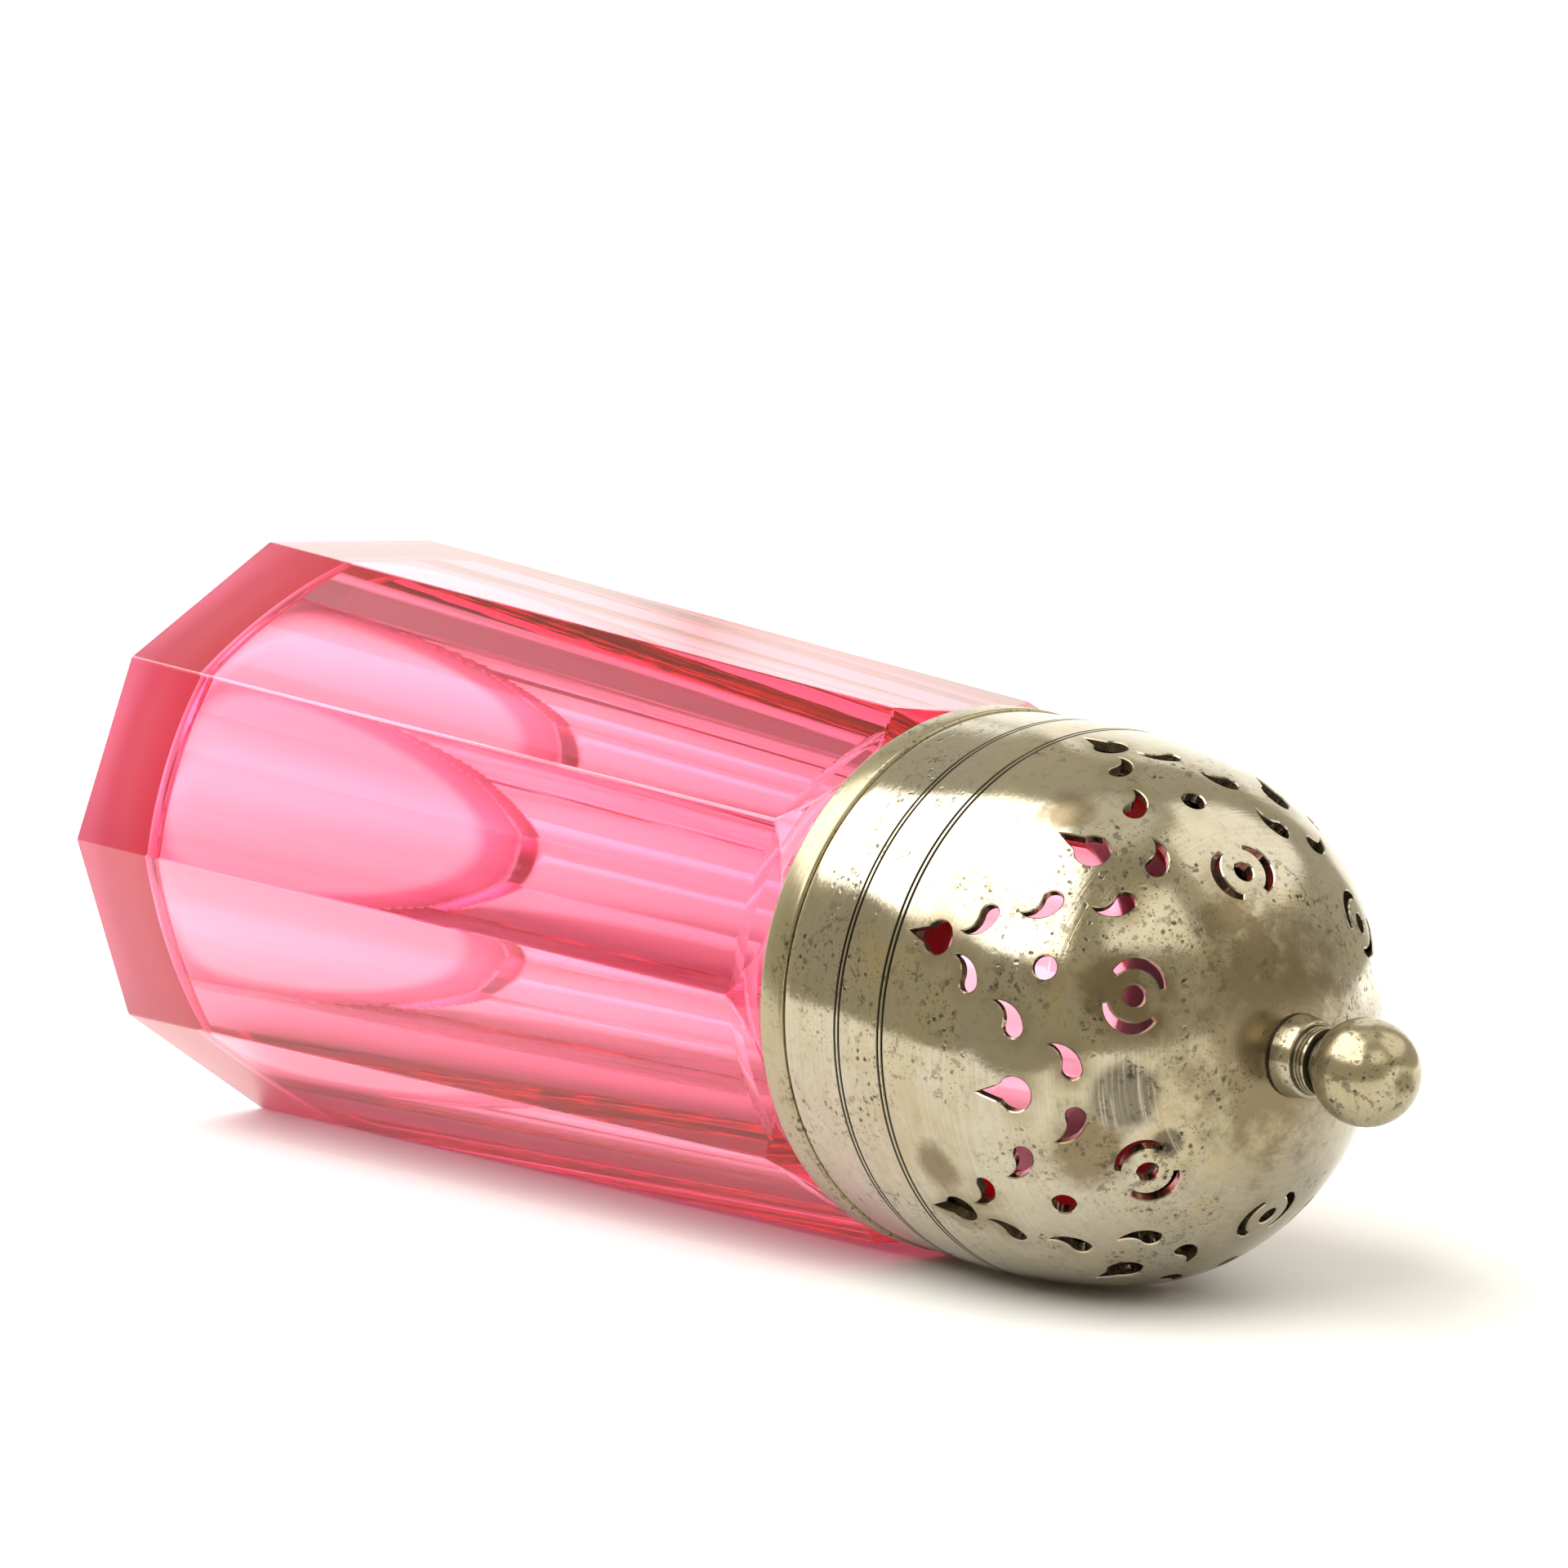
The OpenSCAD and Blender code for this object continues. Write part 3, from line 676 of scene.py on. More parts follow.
class CASTER_OT_glass(bpy.types.Operator):
    """Turns the blank and its hollow, then grinds the panels and softens their edges"""
    bl_idname = "caster.glass"
    bl_label = "Glass body"

    def blank(self, s):
        """The profile of the blank, left wide for the panels, with its neck, mouth and hollow."""
        lip = 0.8 * MM
        blank_r = s.corner_r + MM
        slope = (s.panel_top_r - s.shoulder_r) / (s.shoulder_z - s.panel_h)
        blank_z = s.panel_h - (blank_r - s.panel_top_r) / slope
        hollow_round = s.hollow_high_r - s.mouth_r
        outside = [(0, 0), (blank_r, 0), (blank_r, blank_z), (s.shoulder_r, s.shoulder_z),
                   (s.neck_r, s.shoulder_z + MM)]
        outside += arc((s.neck_r - lip, GLASS_TOP - lip), lip, 0, math.pi / 2, steps=5)
        inside = arc((s.mouth_r + lip, GLASS_TOP - lip), lip, math.pi / 2, math.pi, steps=5)
        inside.append((s.mouth_r, s.shoulder_z))
        inside += arc((s.mouth_r, s.hollow_top_z), hollow_round, math.pi / 3, 0, steps=8)
        corner_c = (s.hollow_low_r - s.floor_round, s.foot_t + s.floor_round)
        inside += arc(corner_c, s.floor_round, 0, -math.pi / 2, steps=48)
        return outside + inside + [(0, s.foot_t)]

    def ground(self, s, edge):
        """Whether an edge comes from grinding the panels and the foot, and not from turning."""
        if len(edge.link_faces) != 2 or edge.calc_face_angle() <= GROUND_EDGE:
            return False
        places = [(Vector(v.co[:2]).length, v.co.z) for v in edge.verts]
        outside = all(r > s.hollow_low_r + MM or z > s.panel_h - MM for r, z in places)
        return outside and all(r > s.shoulder_r - MM and z < s.shoulder_z - 0.1 * MM for r, z in places)

    def grind(self, piece, s):
        """Cuts each leaning panel and the bevel under it, and softens the edges."""
        half = math.pi / s.panel_count
        base_flat, top_flat = s.corner_r * math.cos(half), s.panel_top_r * math.cos(half)
        lean = math.atan2(base_flat - top_flat, s.panel_h)
        up = Vector((0, 0, 1))
        edit(piece)
        for i in range(s.panel_count):
            turn = (2 * i + 1) * half
            out = Vector((math.cos(turn), math.sin(turn), 0))
            panel = (out * base_flat, out * math.cos(lean) + up * math.sin(lean))
            bevel = (out * (base_flat - s.foot_bevel), (out - up).normalized())
            for place, normal in (panel, bevel):
                select_all()
                bpy.ops.mesh.bisect(plane_co=place, plane_no=normal, use_fill=True, clear_outer=True)
        select_all()
        bpy.ops.mesh.remove_doubles(threshold=WELD)
        pick(piece, "EDGE", lambda edge: self.ground(s, edge))
        bpy.ops.mesh.bevel(offset=s.edge_bevel, segments=2, affect="EDGES", clamp_overlap=True)
        leave_edit()

    def execute(self, context):
        s = context.scene.caster_glass
        piece = lathe("cut_glass_body", self.blank(s), GLASS_STEPS)
        self.grind(piece, s)
        dress(piece, cranberry_glass(s))
        hand_over(piece, "glass", "cranberry_glass", "glass_body")
        return {"FINISHED"}


class Dome:
    """The cover's outline: a band, a gently curved flank, a shoulder and a crown."""

    def __init__(self, s):
        self.s = s
        self.low = COVER_LOW
        self.flank_z = self.low + s.band_h
        self.flank_c = Vector((s.radius - s.flank_radius, self.flank_z))
        flank_way = Vector((math.cos(s.flank_lean), math.sin(s.flank_lean)))
        crown_way = Vector((math.cos(s.crown_lean), math.sin(s.crown_lean)))
        self.flank_end = self.flank_c + flank_way * s.flank_radius
        self.shoulder_c = self.flank_end - flank_way * s.shoulder
        self.shoulder_end = self.shoulder_c + crown_way * s.shoulder
        self.crown_r = self.shoulder_end.x / crown_way.x
        self.crown_c = Vector((0, self.shoulder_end.y - self.crown_r * crown_way.y))
        self.apex = self.crown_c.y + self.crown_r

    def stretch(self, z):
        """Centre and radius of the curve that the outline follows at a height."""
        if z < self.flank_end.y:
            return self.flank_c, self.s.flank_radius
        if z < self.shoulder_end.y:
            return self.shoulder_c, self.s.shoulder
        return self.crown_c, self.crown_r

    def lean(self, z):
        """Lean of the surface at a height, from 0 on the band to a right angle at the apex."""
        centre, radius = self.stretch(z)
        return math.asin(max(0, z - centre.y) / radius)

    def radius(self, z):
        """Distance of the surface from the axis at a height."""
        centre, radius = self.stretch(z)
        return centre.x + radius * math.cos(self.lean(z))

    def curve(self, inset):
        """The outline from the top of the band to the pin hole, drawn in by an inset."""
        s = self.s
        last = math.acos(s.hole_r / (self.crown_r - inset))
        flank = arc(self.flank_c, s.flank_radius - inset, 0, s.flank_lean, steps=26)
        shoulder = arc(self.shoulder_c, s.shoulder - inset, s.flank_lean, s.crown_lean, steps=18)
        crown = arc(self.crown_c, self.crown_r - inset, s.crown_lean, last, steps=26)
        return flank + shoulder[1:] + crown[1:]

    def line_heights(self):
        """Heights of the four engraved lines."""
        s = self.s
        pairs = (s.lines_low, s.lines_high)
        return [self.low + pair + side * s.lines_gap / 2 for pair in pairs for side in (-1, 1)]

    def profile(self):
        """The closed profile, with a rounded lower edge and the engraved lines."""
        s = self.s
        half = s.line_w / 2
        clear = half * 1.2
        outer = self.curve(0)
        for z in self.line_heights():
            outer = [p for p in outer if abs(p[1] - z) > clear]
            outer += [(self.radius(z - half), z - half), (self.radius(z) - s.line_w, z),
                      (self.radius(z + half), z + half)]
        outer.sort(key=lambda p: p[1])
        band_z = self.low + s.edge_round
        edge = arc((s.radius - s.edge_round, band_z), s.edge_round, -math.pi / 2, 0, steps=5)
        cuts = 10
        band = [(s.radius, band_z + (s.band_h - s.edge_round) * i / cuts) for i in range(1, cuts)]
        inner = list(reversed(self.curve(s.wall))) + [(s.radius - s.wall, self.low)]
        return edge + band + outer + inner + edge[:1]

    def place(self, depth, turn):
        """Frame on the surface at a depth below the apex: x to the cover's edge, z outwards."""
        z = self.apex - depth
        lean = self.lean(z)
        return (Matrix.Rotation(turn, 4, "Z") @ Matrix.Translation((self.radius(z), 0, z))
                @ Matrix.Rotation(math.pi / 2 - lean, 4, "Y"))

    def spots(self, table):
        """Places on the surface and their reach, from a table of depths, turns and reaches."""
        return [(self.place(depth * MM, math.radians(turn)).translation, reach * MM)
                for depth, turn, reach in table]


def drop_outline(p):
    """A round end with a point along +x."""
    waist = 0.8 * p.drop_r
    cuts = 5
    phase = math.atan2(p.drop_r / waist, p.drop_r / p.drop_l)
    meet = phase - math.acos(1 / math.hypot(p.drop_r / waist, p.drop_r / p.drop_l))
    side = arc((0, 0), p.drop_r, meet, math.tau - meet, steps=40)
    end_x, end_y = side[-1]
    lower = [(end_x + (p.drop_l - end_x) * i / cuts, end_y * (1 - i / cuts)) for i in range(1, cuts)]
    upper = [(x, -y) for x, y in reversed(lower)]
    return side + lower + [(p.drop_l, 0)] + upper


def comma_outline(p):
    """A round end with a point along +x that bows towards +y."""
    tip = p.comma_l
    back_r, front_r = 0.8 * tip, 0.55 * tip
    back_off, front_off = back_r - p.comma_r, front_r + p.comma_r
    back = (tip ** 2 + back_off ** 2 - back_r ** 2) / (2 * tip)
    front = (tip ** 2 + front_off ** 2 - front_r ** 2) / (2 * tip)
    back_c = (back, -math.sqrt(back_off ** 2 - back ** 2))
    front_c = (front, -math.sqrt(front_off ** 2 - front ** 2))

    def turn(centre, x):
        """Turn of the line from an arc's centre to a place on the x axis."""
        return math.atan2(-centre[1], x - centre[0])

    end = arc((0, 0), p.comma_r, turn(front_c, 0) - math.pi, turn(back_c, 0) - math.tau, steps=20)
    outer = arc(back_c, back_r, turn(back_c, 0), turn(back_c, tip), steps=12)
    inner = arc(front_c, front_r, turn(front_c, tip), turn(front_c, 0), steps=10)
    return list(reversed(end + outer[1:] + inner[1:-1]))


def crescent_outline(p):
    """A crescent across +y, thick at its middle and cut off square to its eye."""
    bow = 0.35 * p.crescent_r
    outer_r = p.crescent_r + p.crescent_w - bow
    wide, high = math.sin(p.crescent_half), math.cos(p.crescent_half)
    reach = bow * high + math.sqrt(outer_r ** 2 - (bow * wide) ** 2)
    start = math.atan2(reach * high - bow, reach * wide)
    inner = math.pi / 2 - p.crescent_half
    return (arc((0, bow), outer_r, start, math.pi - start, steps=24)
            + arc((0, 0), p.crescent_r, math.pi - inner, inner, steps=20))


def round_outline(radius):
    """A circle."""
    return arc((0, 0), radius, 0, math.tau, steps=36)[:-1]


def grown(outline, by):
    """An outline moved outwards, with its sharp points held back."""
    sharpest = 0.45
    points = [Vector(p) for p in outline]
    moved = []
    for i, here in enumerate(points):
        before = (here - points[i - 1]).normalized()
        after = (points[(i + 1) % len(points)] - here).normalized()
        out = Vector((before.y + after.y, -before.x - after.x))
        spread = max(out.length / 2, sharpest)
        moved.append(here + out.normalized() * by / spread)
    return moved


class CASTER_OT_cover(bpy.types.Operator):
    """Turns the domed cover with its engraved lines, dents it and pierces it"""
    bl_idname = "caster.cover"
    bl_label = "Pierced cover"

    def ripple(self, piece, dome, s):
        """Waves the outer surface, more and more from the band upwards."""
        rise_h = 6 * MM
        waves = bpy.data.textures.new("waves", "CLOUDS")
        waves.noise_scale = s.ripple_w
        middle = Vector((0, 0, dome.flank_z))
        upper = piece.vertex_groups.new(name="upper")
        for vertex in piece.data.vertices:
            rise = (vertex.co.z - dome.flank_z) / rise_h
            if vertex.normal.dot(vertex.co - middle) > 0 and rise > 0:
                upper.add([vertex.index], min(1.0, rise), "REPLACE")
        apply(piece, "DISPLACE", texture=waves, texture_coords="LOCAL", strength=s.ripple,
              vertex_group=upper.name)
        piece.vertex_groups.clear()

    def cutter(self, name, outline):
        """A plug with a wide head, whose slanted neck softens the edge of its hole."""
        p = bpy.context.scene.caster_piercing
        head = 4 * p.chamfer
        drop = -3 * bpy.context.scene.caster_cover.wall
        clear_selection()
        bpy.ops.mesh.primitive_circle_add(vertices=len(outline), radius=MM, fill_type="NGON")
        plug = bpy.context.object
        plug.name = name
        for vertex, place in zip(plug.data.vertices, grown(outline, head)):
            vertex.co = (*place, head - p.chamfer)
        edit(plug)
        bpy.ops.mesh.normals_make_consistent(inside=False)
        pick(plug, "FACE", lambda f: True)
        up = bmesh.from_edit_mesh(plug.data).faces[:][0].normal.z
        bpy.ops.mesh.inset(thickness=head, depth=-head if up > 0 else head, use_even_offset=True)
        bpy.ops.mesh.extrude_region_move(TRANSFORM_OT_translate={"value": (0, 0, drop)})
        bpy.ops.mesh.select_mode(type="EDGE")
        bpy.ops.mesh.select_all(action="DESELECT")
        bpy.ops.mesh.select_non_manifold()
        bpy.ops.mesh.edge_face_add()
        leave_edit()
        return plug

    def motif(self, dome, p, turn):
        """The kinds and frames of one motif's piercings."""
        eye_d = dome.crown_r - math.sqrt(dome.crown_r ** 2 - p.eye_ring_r ** 2)
        yield "drop", dome.place(p.low_drop_d, turn)
        yield "drop", dome.place(p.high_drop_d, turn + math.pi / p.count)
        yield "round", dome.place(p.round_d, turn)
        yield "eye", dome.place(eye_d, turn)
        for side in (-1, 1):
            half_turn = Matrix.Rotation(math.pi * (side + 1) / 2, 4, "Z")
            yield "crescent", dome.place(eye_d, turn) @ half_turn
            slant = Matrix.Scale(-side, 4, (0, 1, 0)) @ Matrix.Rotation(p.comma_slant, 4, "Z")
            for depth, swing in zip(p.comma_depths, p.comma_turns):
                yield "comma", dome.place(depth, turn + side * swing) @ slant

    def wrapped(self, plug, spot, surface):
        """A copy of a plug at a frame, bent to follow the cover's surface."""
        copy = plug.copy()
        copy.data = plug.data.copy()
        bpy.context.collection.objects.link(copy)
        out = spot.col[2].to_3d().normalized()
        start = out * 4 * MM
        for vertex in copy.data.vertices:
            flat = spot @ Vector((vertex.co.x, vertex.co.y, 0))
            hit = surface.ray_cast(flat + start, -out)[0] or flat
            vertex.co = hit + out * vertex.co.z
        return copy

    def pierce(self, piece, dome, p):
        """Cuts every motif through the cover and gives the points on the rims of the piercings."""
        surface = BVHTree.FromObject(piece, bpy.context.evaluated_depsgraph_get())
        kinds = {"drop": drop_outline(p), "comma": comma_outline(p), "crescent": crescent_outline(p),
                 "round": round_outline(p.round_r), "eye": round_outline(p.eye_r)}
        plugs = {name: self.cutter(name, outline) for name, outline in kinds.items()}
        copies, rims = [], []
        for i in range(p.count):
            for kind, spot in self.motif(dome, p, p.turn + math.tau * i / p.count):
                copies.append(self.wrapped(plugs[kind], spot, surface))
                rims += [spot @ Vector((*point, 0)) for point in kinds[kind]]
        for plug in plugs.values():
            bpy.data.objects.remove(plug)
        clear_selection()
        for copy in copies:
            copy.select_set(True)
        bpy.context.view_layer.objects.active = copies[0]
        bpy.ops.object.join()
        edit(copies[0])
        face_outwards()
        combine(piece, copies[0], "DIFFERENCE")
        return rims

    def mark(self, piece, rims):
        """Stores on each point how near it lies to a piercing."""
        halo = 2.4 * MM
        tree = KDTree(len(rims))
        for i, place in enumerate(rims):
            tree.insert(place, i)
        tree.balance()
        near = [max(0.0, 1 - tree.find(v.co)[2] / halo) for v in piece.data.vertices]
        piece.data.attributes.new("pierced", "FLOAT", "POINT").data.foreach_set("value", near)

    def execute(self, context):
        s = context.scene.caster_cover
        dome = Dome(s)
        piece = lathe("pierced_cover", dome.profile(), COVER_STEPS)
        self.ripple(piece, dome, s)
        for depth, turn, deep, reach in COVER_DENTS:
            place = dome.place(depth * MM, math.radians(turn)).translation
            press(piece, place, deep * MM, reach * MM)
        self.mark(piece, self.pierce(piece, dome, context.scene.caster_piercing))
        smooth(piece)
        # The engraved lines are darkened with painted shade and soiling
        lines = [(z, s.line_w) for z in dome.line_heights()]
        dress(piece, worn_plate("plate_cover", context.scene.caster_metal, AGES["cover"], lines,
                                dome.spots(COVER_RUBS), dome.spots(COVER_STAINS), pierced=True))
        hand_over(piece, "cover", "plated_metal", "cover_dome")
        return {"FINISHED"}


class CASTER_OT_collar(bpy.types.Operator):
    """Turns the collar's flange and neck and winds its thread ridge"""
    bl_idname = "caster.collar"
    bl_label = "Threaded collar"

    def ridge(self, s, start):
        """A helical ridge that fades out at both ends."""
        sink, fade = 0.3 * MM, 0.2
        steps = int(RIDGE_STEPS * s.ridge_turns)
        clear_selection()
        bpy.ops.mesh.primitive_plane_add(size=MM)
        ridge = bpy.context.object
        root_r, crest_r = s.neck_r - sink, s.neck_r + s.ridge_h
        section = ((root_r, -s.ridge_root), (root_r, s.ridge_root), (crest_r, -s.ridge_crest),
                   (crest_r, s.ridge_crest))
        for vertex, (r, width) in zip(ridge.data.vertices, section):
            vertex.co = (r, 0, start + width / 2)
        edit(ridge)
        bpy.ops.mesh.delete(type="ONLY_FACE")
        leave_edit()
        apply(ridge, "SCREW", angle=math.tau * s.ridge_turns, screw_offset=s.pitch * s.ridge_turns,
              steps=steps, render_steps=steps, use_merge_vertices=False)
        for vertex in ridge.data.vertices:
            turn = (vertex.co.z - start) / s.pitch
            shrink = max(0.0, min(1.0, turn / fade, (s.ridge_turns - turn) / fade))
            radius = Vector(vertex.co[:2]).length
            if radius > s.neck_r:
                scale = (s.neck_r + (radius - s.neck_r) * shrink) / radius
                vertex.co.x *= scale
                vertex.co.y *= scale
        edit(ridge)
        bpy.ops.mesh.select_non_manifold()
        bpy.ops.mesh.fill_holes(sides=4)
        face_outwards()
        return ridge

    def execute(self, context):
        s = context.scene.caster_collar
        seat = COLLAR_LOW + s.flange_h
        skirt_r, bore, under = s.flange_r - s.wall, s.neck_r - s.wall, seat - s.wall
        fillet, rim_round = 0.3 * MM, 0.2 * MM
        corners = [(skirt_r, COLLAR_LOW, 0), (s.flange_r, COLLAR_LOW, s.flange_round),
                   (s.flange_r, seat, s.flange_round), (s.neck_r, seat, fillet),
                   (s.neck_r, COLLAR_TOP, rim_round), (bore, COLLAR_TOP, rim_round),
                   (bore, under, 0), (skirt_r, under, 0)]
        piece = lathe("threaded_collar", eased(corners))
        combine(piece, self.ridge(s, seat + s.ridge_start), "UNION")
        smooth(piece)
        dress(piece, worn_plate("plate_collar", context.scene.caster_metal, AGES["collar"]))
        hand_over(piece, "glass", "plated_metal", "neck_collar")
        return {"FINISHED"}


class CASTER_OT_finial(bpy.types.Operator):
    """Turns the stepped collet and the hollow ball"""
    bl_idname = "caster.finial"
    bl_label = "Finial"

    def collet(self, s, dome, colours):
        """A collet seated on the crown, with a flared foot, a step with two fine rings and a neck."""
        gap, groove, chamfer, ease = 0.05 * MM, 0.1 * MM, 0.1 * MM, 0.3 * MM
        bore, crown = dome.s.hole_r, dome.crown_r + gap
        seat = arc(dome.crown_c, crown, math.acos(bore / crown), math.acos((s.foot_r - chamfer) / crown),
                   steps=8)
        seat_z = seat[-1][1]
        step_z = dome.apex + s.foot_h
        neck_z = step_z + s.step_h
        rings = [step_z + s.step_h * share for share in (0.3, 0.62)]
        corners = [(r, z, 0) for r, z in seat]
        corners += [(s.foot_r, seat_z + chamfer, 0), (s.foot_r * 0.97, dome.apex + s.foot_h * 0.3, ease),
                    (s.foot_r * 0.9, step_z, ease), (s.step_r, step_z - gap, 0.08 * MM)]
        for z in rings:
            corners += [(s.step_r, z - groove, 0), (s.step_r - groove, z, 0), (s.step_r, z + groove, 0)]
        corners += [(s.step_r, neck_z, 0.25 * MM), (s.neck_r, neck_z - chamfer, 0),
                    (s.neck_r, COLLET_TOP, 0), (bore, COLLET_TOP - 0.2 * MM, 0)]
        piece = lathe("turned_collet", eased(corners), COLLET_STEPS)
        smooth(piece)
        # The seat on the crown, the step, the neck and the two rings are darkened with painted shade and
        # soiling
        creases = [(seat_z, 0.5 * MM), (step_z + 0.04 * MM, 0.16 * MM), (neck_z, 0.2 * MM)]
        creases += [(z, 0.14 * MM) for z in rings]
        dress(piece, worn_plate("plate_collet", colours, AGES["collet"], creases))
        hand_over(piece, "cover", "plated_metal", "finial_collet")

    def ball(self, s, bore, colours):
        """A hollow ball with two dents and a stain at its top."""
        centre = (0, BALL_TOP - s.ball_r)
        inner = s.ball_r - s.ball_wall
        top = math.pi / 2
        shell = arc(centre, s.ball_r, -math.acos(bore / s.ball_r), top, steps=64)
        shell += arc(centre, inner, top, -math.acos(bore / inner), steps=32)
        piece = lathe("finial_knop", shell + shell[:1], BALL_STEPS)
        for turn, tilt, deep, reach in BALL_DENTS:
            flat = math.cos(tilt)
            way = Vector((math.cos(turn) * flat, math.sin(turn) * flat, math.sin(tilt)))
            press(piece, Vector((0, 0, centre[1])) + way * s.ball_r, deep * MM, reach * MM)
        smooth(piece)
        stains = [(Vector((0, 0, BALL_TOP)), 1.2 * MM)]
        dress(piece, worn_plate("plate_ball", colours, AGES["ball"], stains=stains))
        hand_over(piece, "cover", "plated_metal", "finial_ball")

    def execute(self, context):
        s, colours = context.scene.caster_finial, context.scene.caster_metal
        dome = Dome(context.scene.caster_cover)
        self.collet(s, dome, colours)
        self.ball(s, dome.s.hole_r, colours)
        return {"FINISHED"}


class CASTER_OT_inside(bpy.types.Operator):
    """Finishes the sleeve, the pin, the washer and the plaster, which keep their solids' shapes"""
    bl_idname = "caster.inside"
    bl_label = "Inner pieces"

    def execute(self, context):
        plate = worn_plate("plate_inside", context.scene.caster_metal, AGES["inside"])
        for name in ("thread_sleeve", "finial_pin", "finial_washer"):
            dress(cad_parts[name], plate)
        dress(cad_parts["plaster_bed"], setting_plaster())
        return {"FINISHED"}


class CASTER_OT_stage(bpy.types.Operator):
    """Lays the floor along the resting side and sets the camera and the light"""
    bl_idname = "caster.stage"
    bl_label = "Stage"

    def camera(self, context, look):
        """Sets up the camera and gives the way that it looks."""
        camera = bpy.data.objects.new("camera", bpy.data.cameras.new("camera"))
        context.scene.collection.objects.link(camera)
        forward = Vector(look.camera_forward).normalized()
        right = forward.cross(Vector(look.camera_up)).normalized()
        turn = Matrix((right, right.cross(forward), -forward)).transposed().to_4x4()
        camera.matrix_world = Matrix.Translation(look.camera_place) @ turn
        camera.data.lens = look.lens
        camera.data.clip_start, camera.data.clip_end = 0.01, 100
        context.scene.camera = camera
        return forward

    def rest(self, context, look):
        """The foot of the panel that the caster lies on, and the way up from its floor."""
        glass = context.scene.caster_glass
        side = Vector((math.cos(look.rest_turn), math.sin(look.rest_turn), 0))
        foot = side * glass.corner_r * math.cos(math.pi / glass.panel_count)
        dome = Dome(context.scene.caster_cover)
        to_flank = Vector((foot.length - dome.flank_c.x, dome.flank_c.y))
        lean = math.atan2(to_flank.x, to_flank.y) - math.asin(dome.s.flank_radius / to_flank.length)
        along = Vector((0, 0, math.cos(lean))) - side * math.sin(lean)
        return foot, (along * side.dot(along) - side).normalized()

    def floor(self, context, look, foot, axes):
        """A white sheet that ends a little in front of the caster and fades into the white behind it."""
        sink = 0.05 * MM
        up = axes[2]
        to_room = Matrix(axes).transposed().to_4x4()
        front = Matrix.Rotation(look.front_turn, 3, "Z") @ Vector((0, -1, 0))
        edge = to_room.inverted() @ Vector((0, 0, COVER_LOW)) + front * look.floor_front
        clear_selection()
        bpy.ops.mesh.primitive_plane_add(size=look.floor_w)
        floor = context.object
        floor.name = floor.data.name = "floor"
        edit(floor)
        bpy.ops.mesh.subdivide(number_cuts=2)
        select_all()
        bpy.ops.mesh.bisect(plane_co=(edge.x, edge.y, 0), plane_no=front, clear_outer=True)
        leave_edit()
        floor.data.transform(to_room)
        floor.data.transform(Matrix.Translation(up * (foot.dot(up) - sink)))
        finish = Finish("pale_floor")
        finish.set(Base_Color=rgba(look.floor_white), Roughness=0.7, Specular_IOR_Level=0.1)
        middle = Vector((0, 0, COVER_LOW / 2))
        far = finish.distance(finish.place, middle).above(look.glow_near, look.glow_far)
        glow = finish.node("ShaderNodeEmission", None, {"Color": WHITE, "Strength": look.wall}).outputs[0]
        sheet = finish.mixed(far, finish.shader.outputs[0], glow)
        back = finish.node("ShaderNodeNewGeometry").outputs["Backfacing"]
        clear = finish.node("ShaderNodeBsdfTransparent").outputs[0]
        finish.link(finish.mixed(back, sheet, clear), finish.output.inputs["Surface"])
        dress(floor, finish.material)

    def light(self, context, look, axes):
        """A dim room with a window, two softer lights and a white backdrop, each a patch of the sky."""
        world = bpy.data.worlds.new("studio")
        context.scene.world = world
        world.use_nodes = True
        sky = Nodes(world.node_tree)
        way = sky.node("ShaderNodeTexCoord").outputs["Generated"]
        right, back, rise = (sky.along(way, axis) for axis in axes)
        turn = right.math("ARCTAN2", back * -1)
        height = rise.math("ARCSINE")
        level = 0.0
        for name, *degrees in SKY_PATCHES:
            first, last, low, high, fade = (math.radians(value) for value in degrees)
            patch = turn.between(first, last, fade) * height.between(low, high, fade)
            level = patch * (getattr(look, name) - level) + level
        seen = Value(sky, sky.node("ShaderNodeLightPath").outputs["Is Camera Ray"])
        level = level + seen * (1 - level)
        lights = sky.node("ShaderNodeBackground", None, {"Color": WHITE, "Strength": level}).outputs[0]
        room = sky.node("ShaderNodeBackground", None, {"Color": rgba(look.room)}).outputs[0]
        both = sky.node("ShaderNodeAddShader", None, {0: lights, 1: room})
        output = sky.node("ShaderNodeOutputWorld")
        sky.link(both.outputs[0], output.inputs["Surface"])

    def execute(self, context):
        look = context.scene.caster_stage
        forward = self.camera(context, look)
        foot, up = self.rest(context, look)
        away = (forward - up * forward.dot(up)).normalized()
        axes = (away.cross(up), away, up)
        self.floor(context, look, foot, axes)
        self.light(context, look, axes)
        for name, count in BOUNCES.items():
            setattr(context.scene.cycles, name, count)
        context.scene.view_settings.view_transform = "Standard"
        return {"FINISHED"}


class CASTER_PT_panel(bpy.types.Panel):
    """Lists the steps that make the caster"""
    bl_idname = "CASTER_PT_panel"
    bl_label = "Sugar caster"
    bl_space_type = "VIEW_3D"
    bl_region_type = "UI"
    bl_category = "Caster"

    def draw(self, context):
        for step in STEPS:
            self.layout.operator(step.bl_idname)


GROUPS = {
    "caster_glass": GlassSizes,
    "caster_cover": CoverSizes,
    "caster_piercing": PiercingSizes,
    "caster_collar": CollarSizes,
    "caster_finial": FinialSizes,
    "caster_metal": MetalColours,
    "caster_stage": StageLook,
}
STEPS = (CASTER_OT_stage, CASTER_OT_glass, CASTER_OT_cover, CASTER_OT_collar, CASTER_OT_finial,
         CASTER_OT_inside)


def register():
    for cls in (*GROUPS.values(), *STEPS, CASTER_PT_panel):
        bpy.utils.register_class(cls)
    for name, group in GROUPS.items():
        setattr(bpy.types.Scene, name, bpy.props.PointerProperty(type=group))


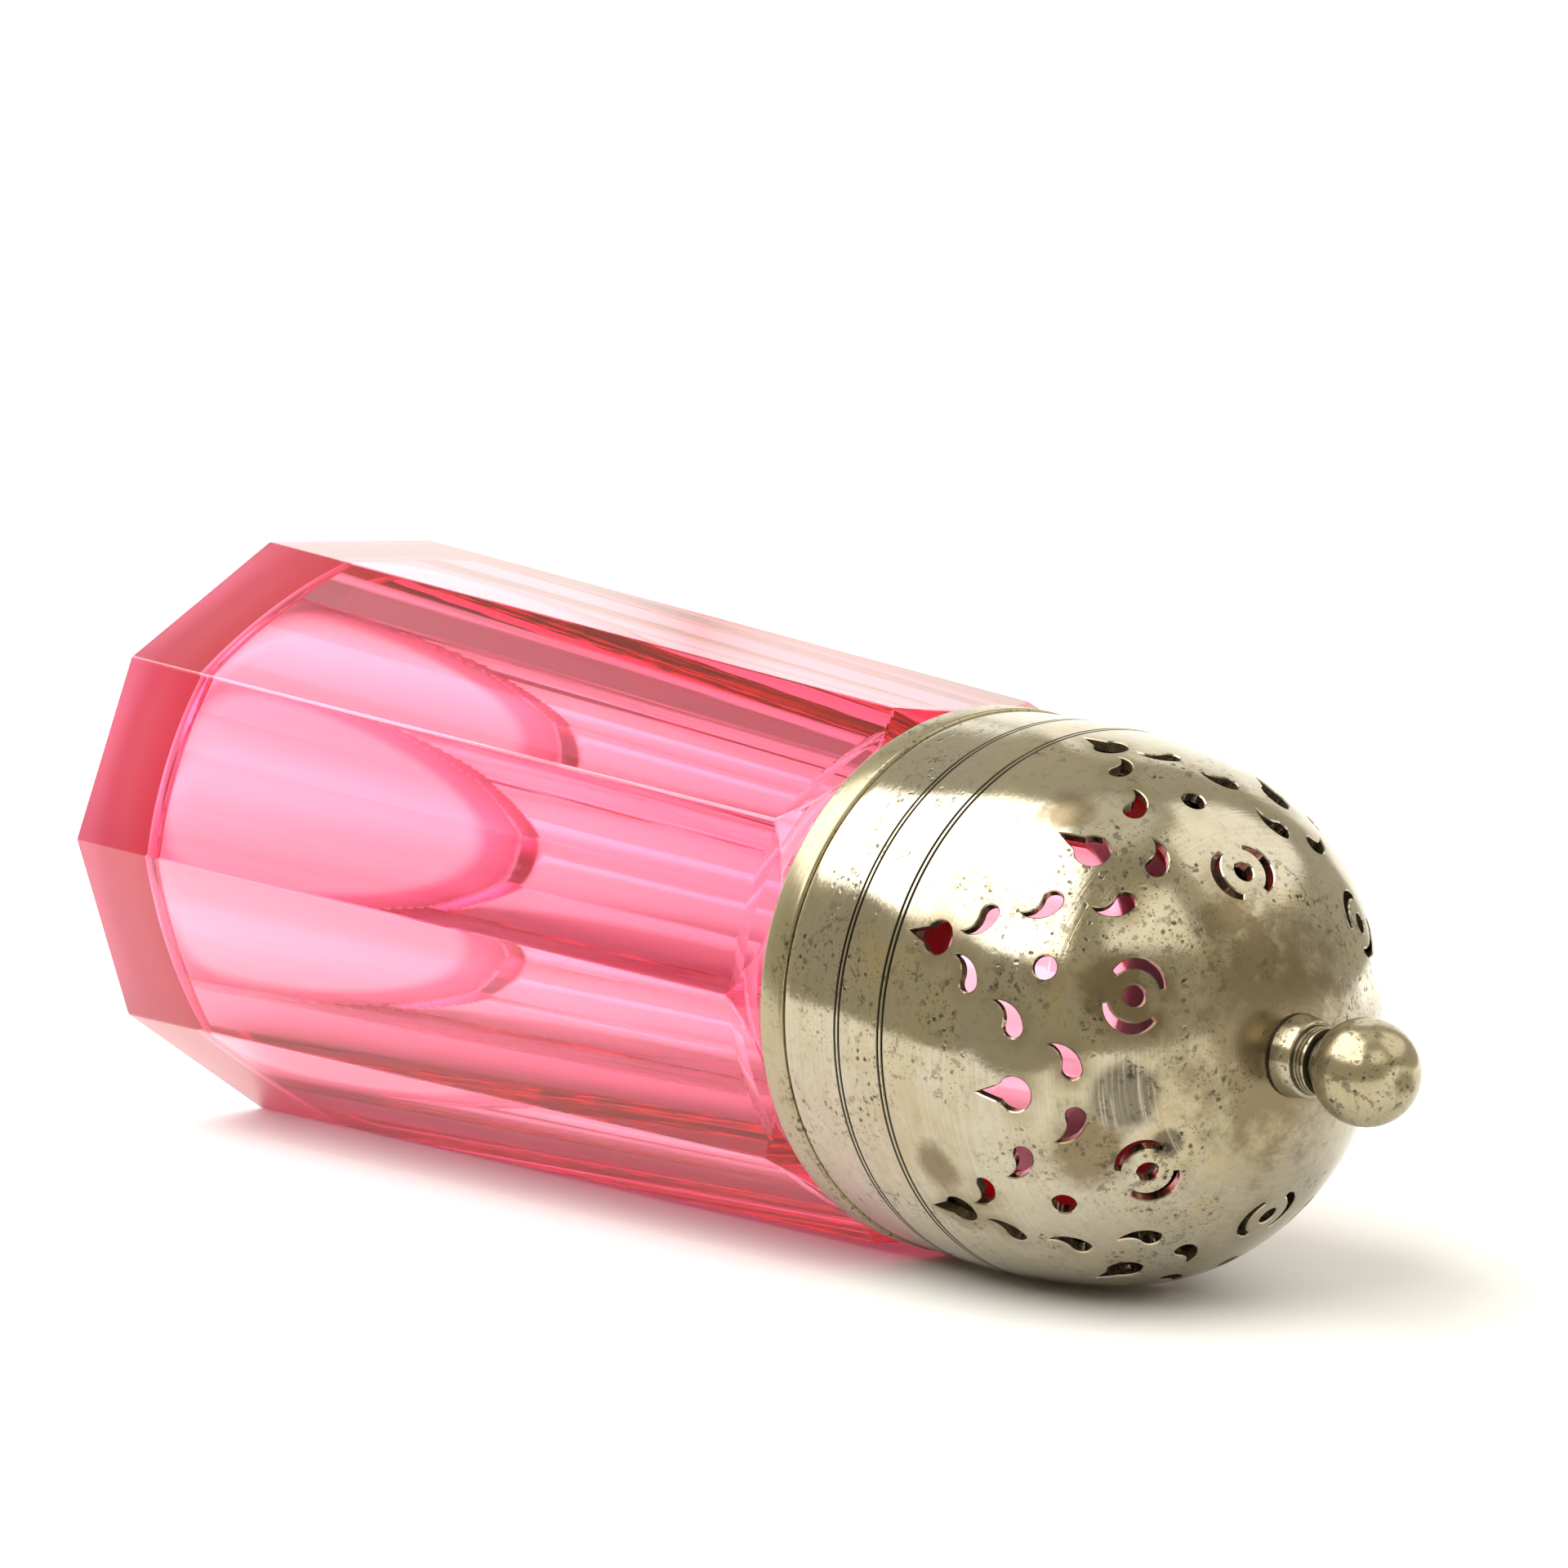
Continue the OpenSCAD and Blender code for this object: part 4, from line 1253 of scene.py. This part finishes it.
def unregister():
    for name in GROUPS:
        delattr(bpy.types.Scene, name)
    for cls in (CASTER_PT_panel, *reversed(STEPS), *GROUPS.values()):
        bpy.utils.unregister_class(cls)


def main():
    register()
    bpy.ops.caster.stage()
    bpy.ops.caster.glass()
    bpy.ops.caster.cover()
    bpy.ops.caster.collar()
    bpy.ops.caster.finial()
    bpy.ops.caster.inside()


if __name__ == "__main__":
    main()
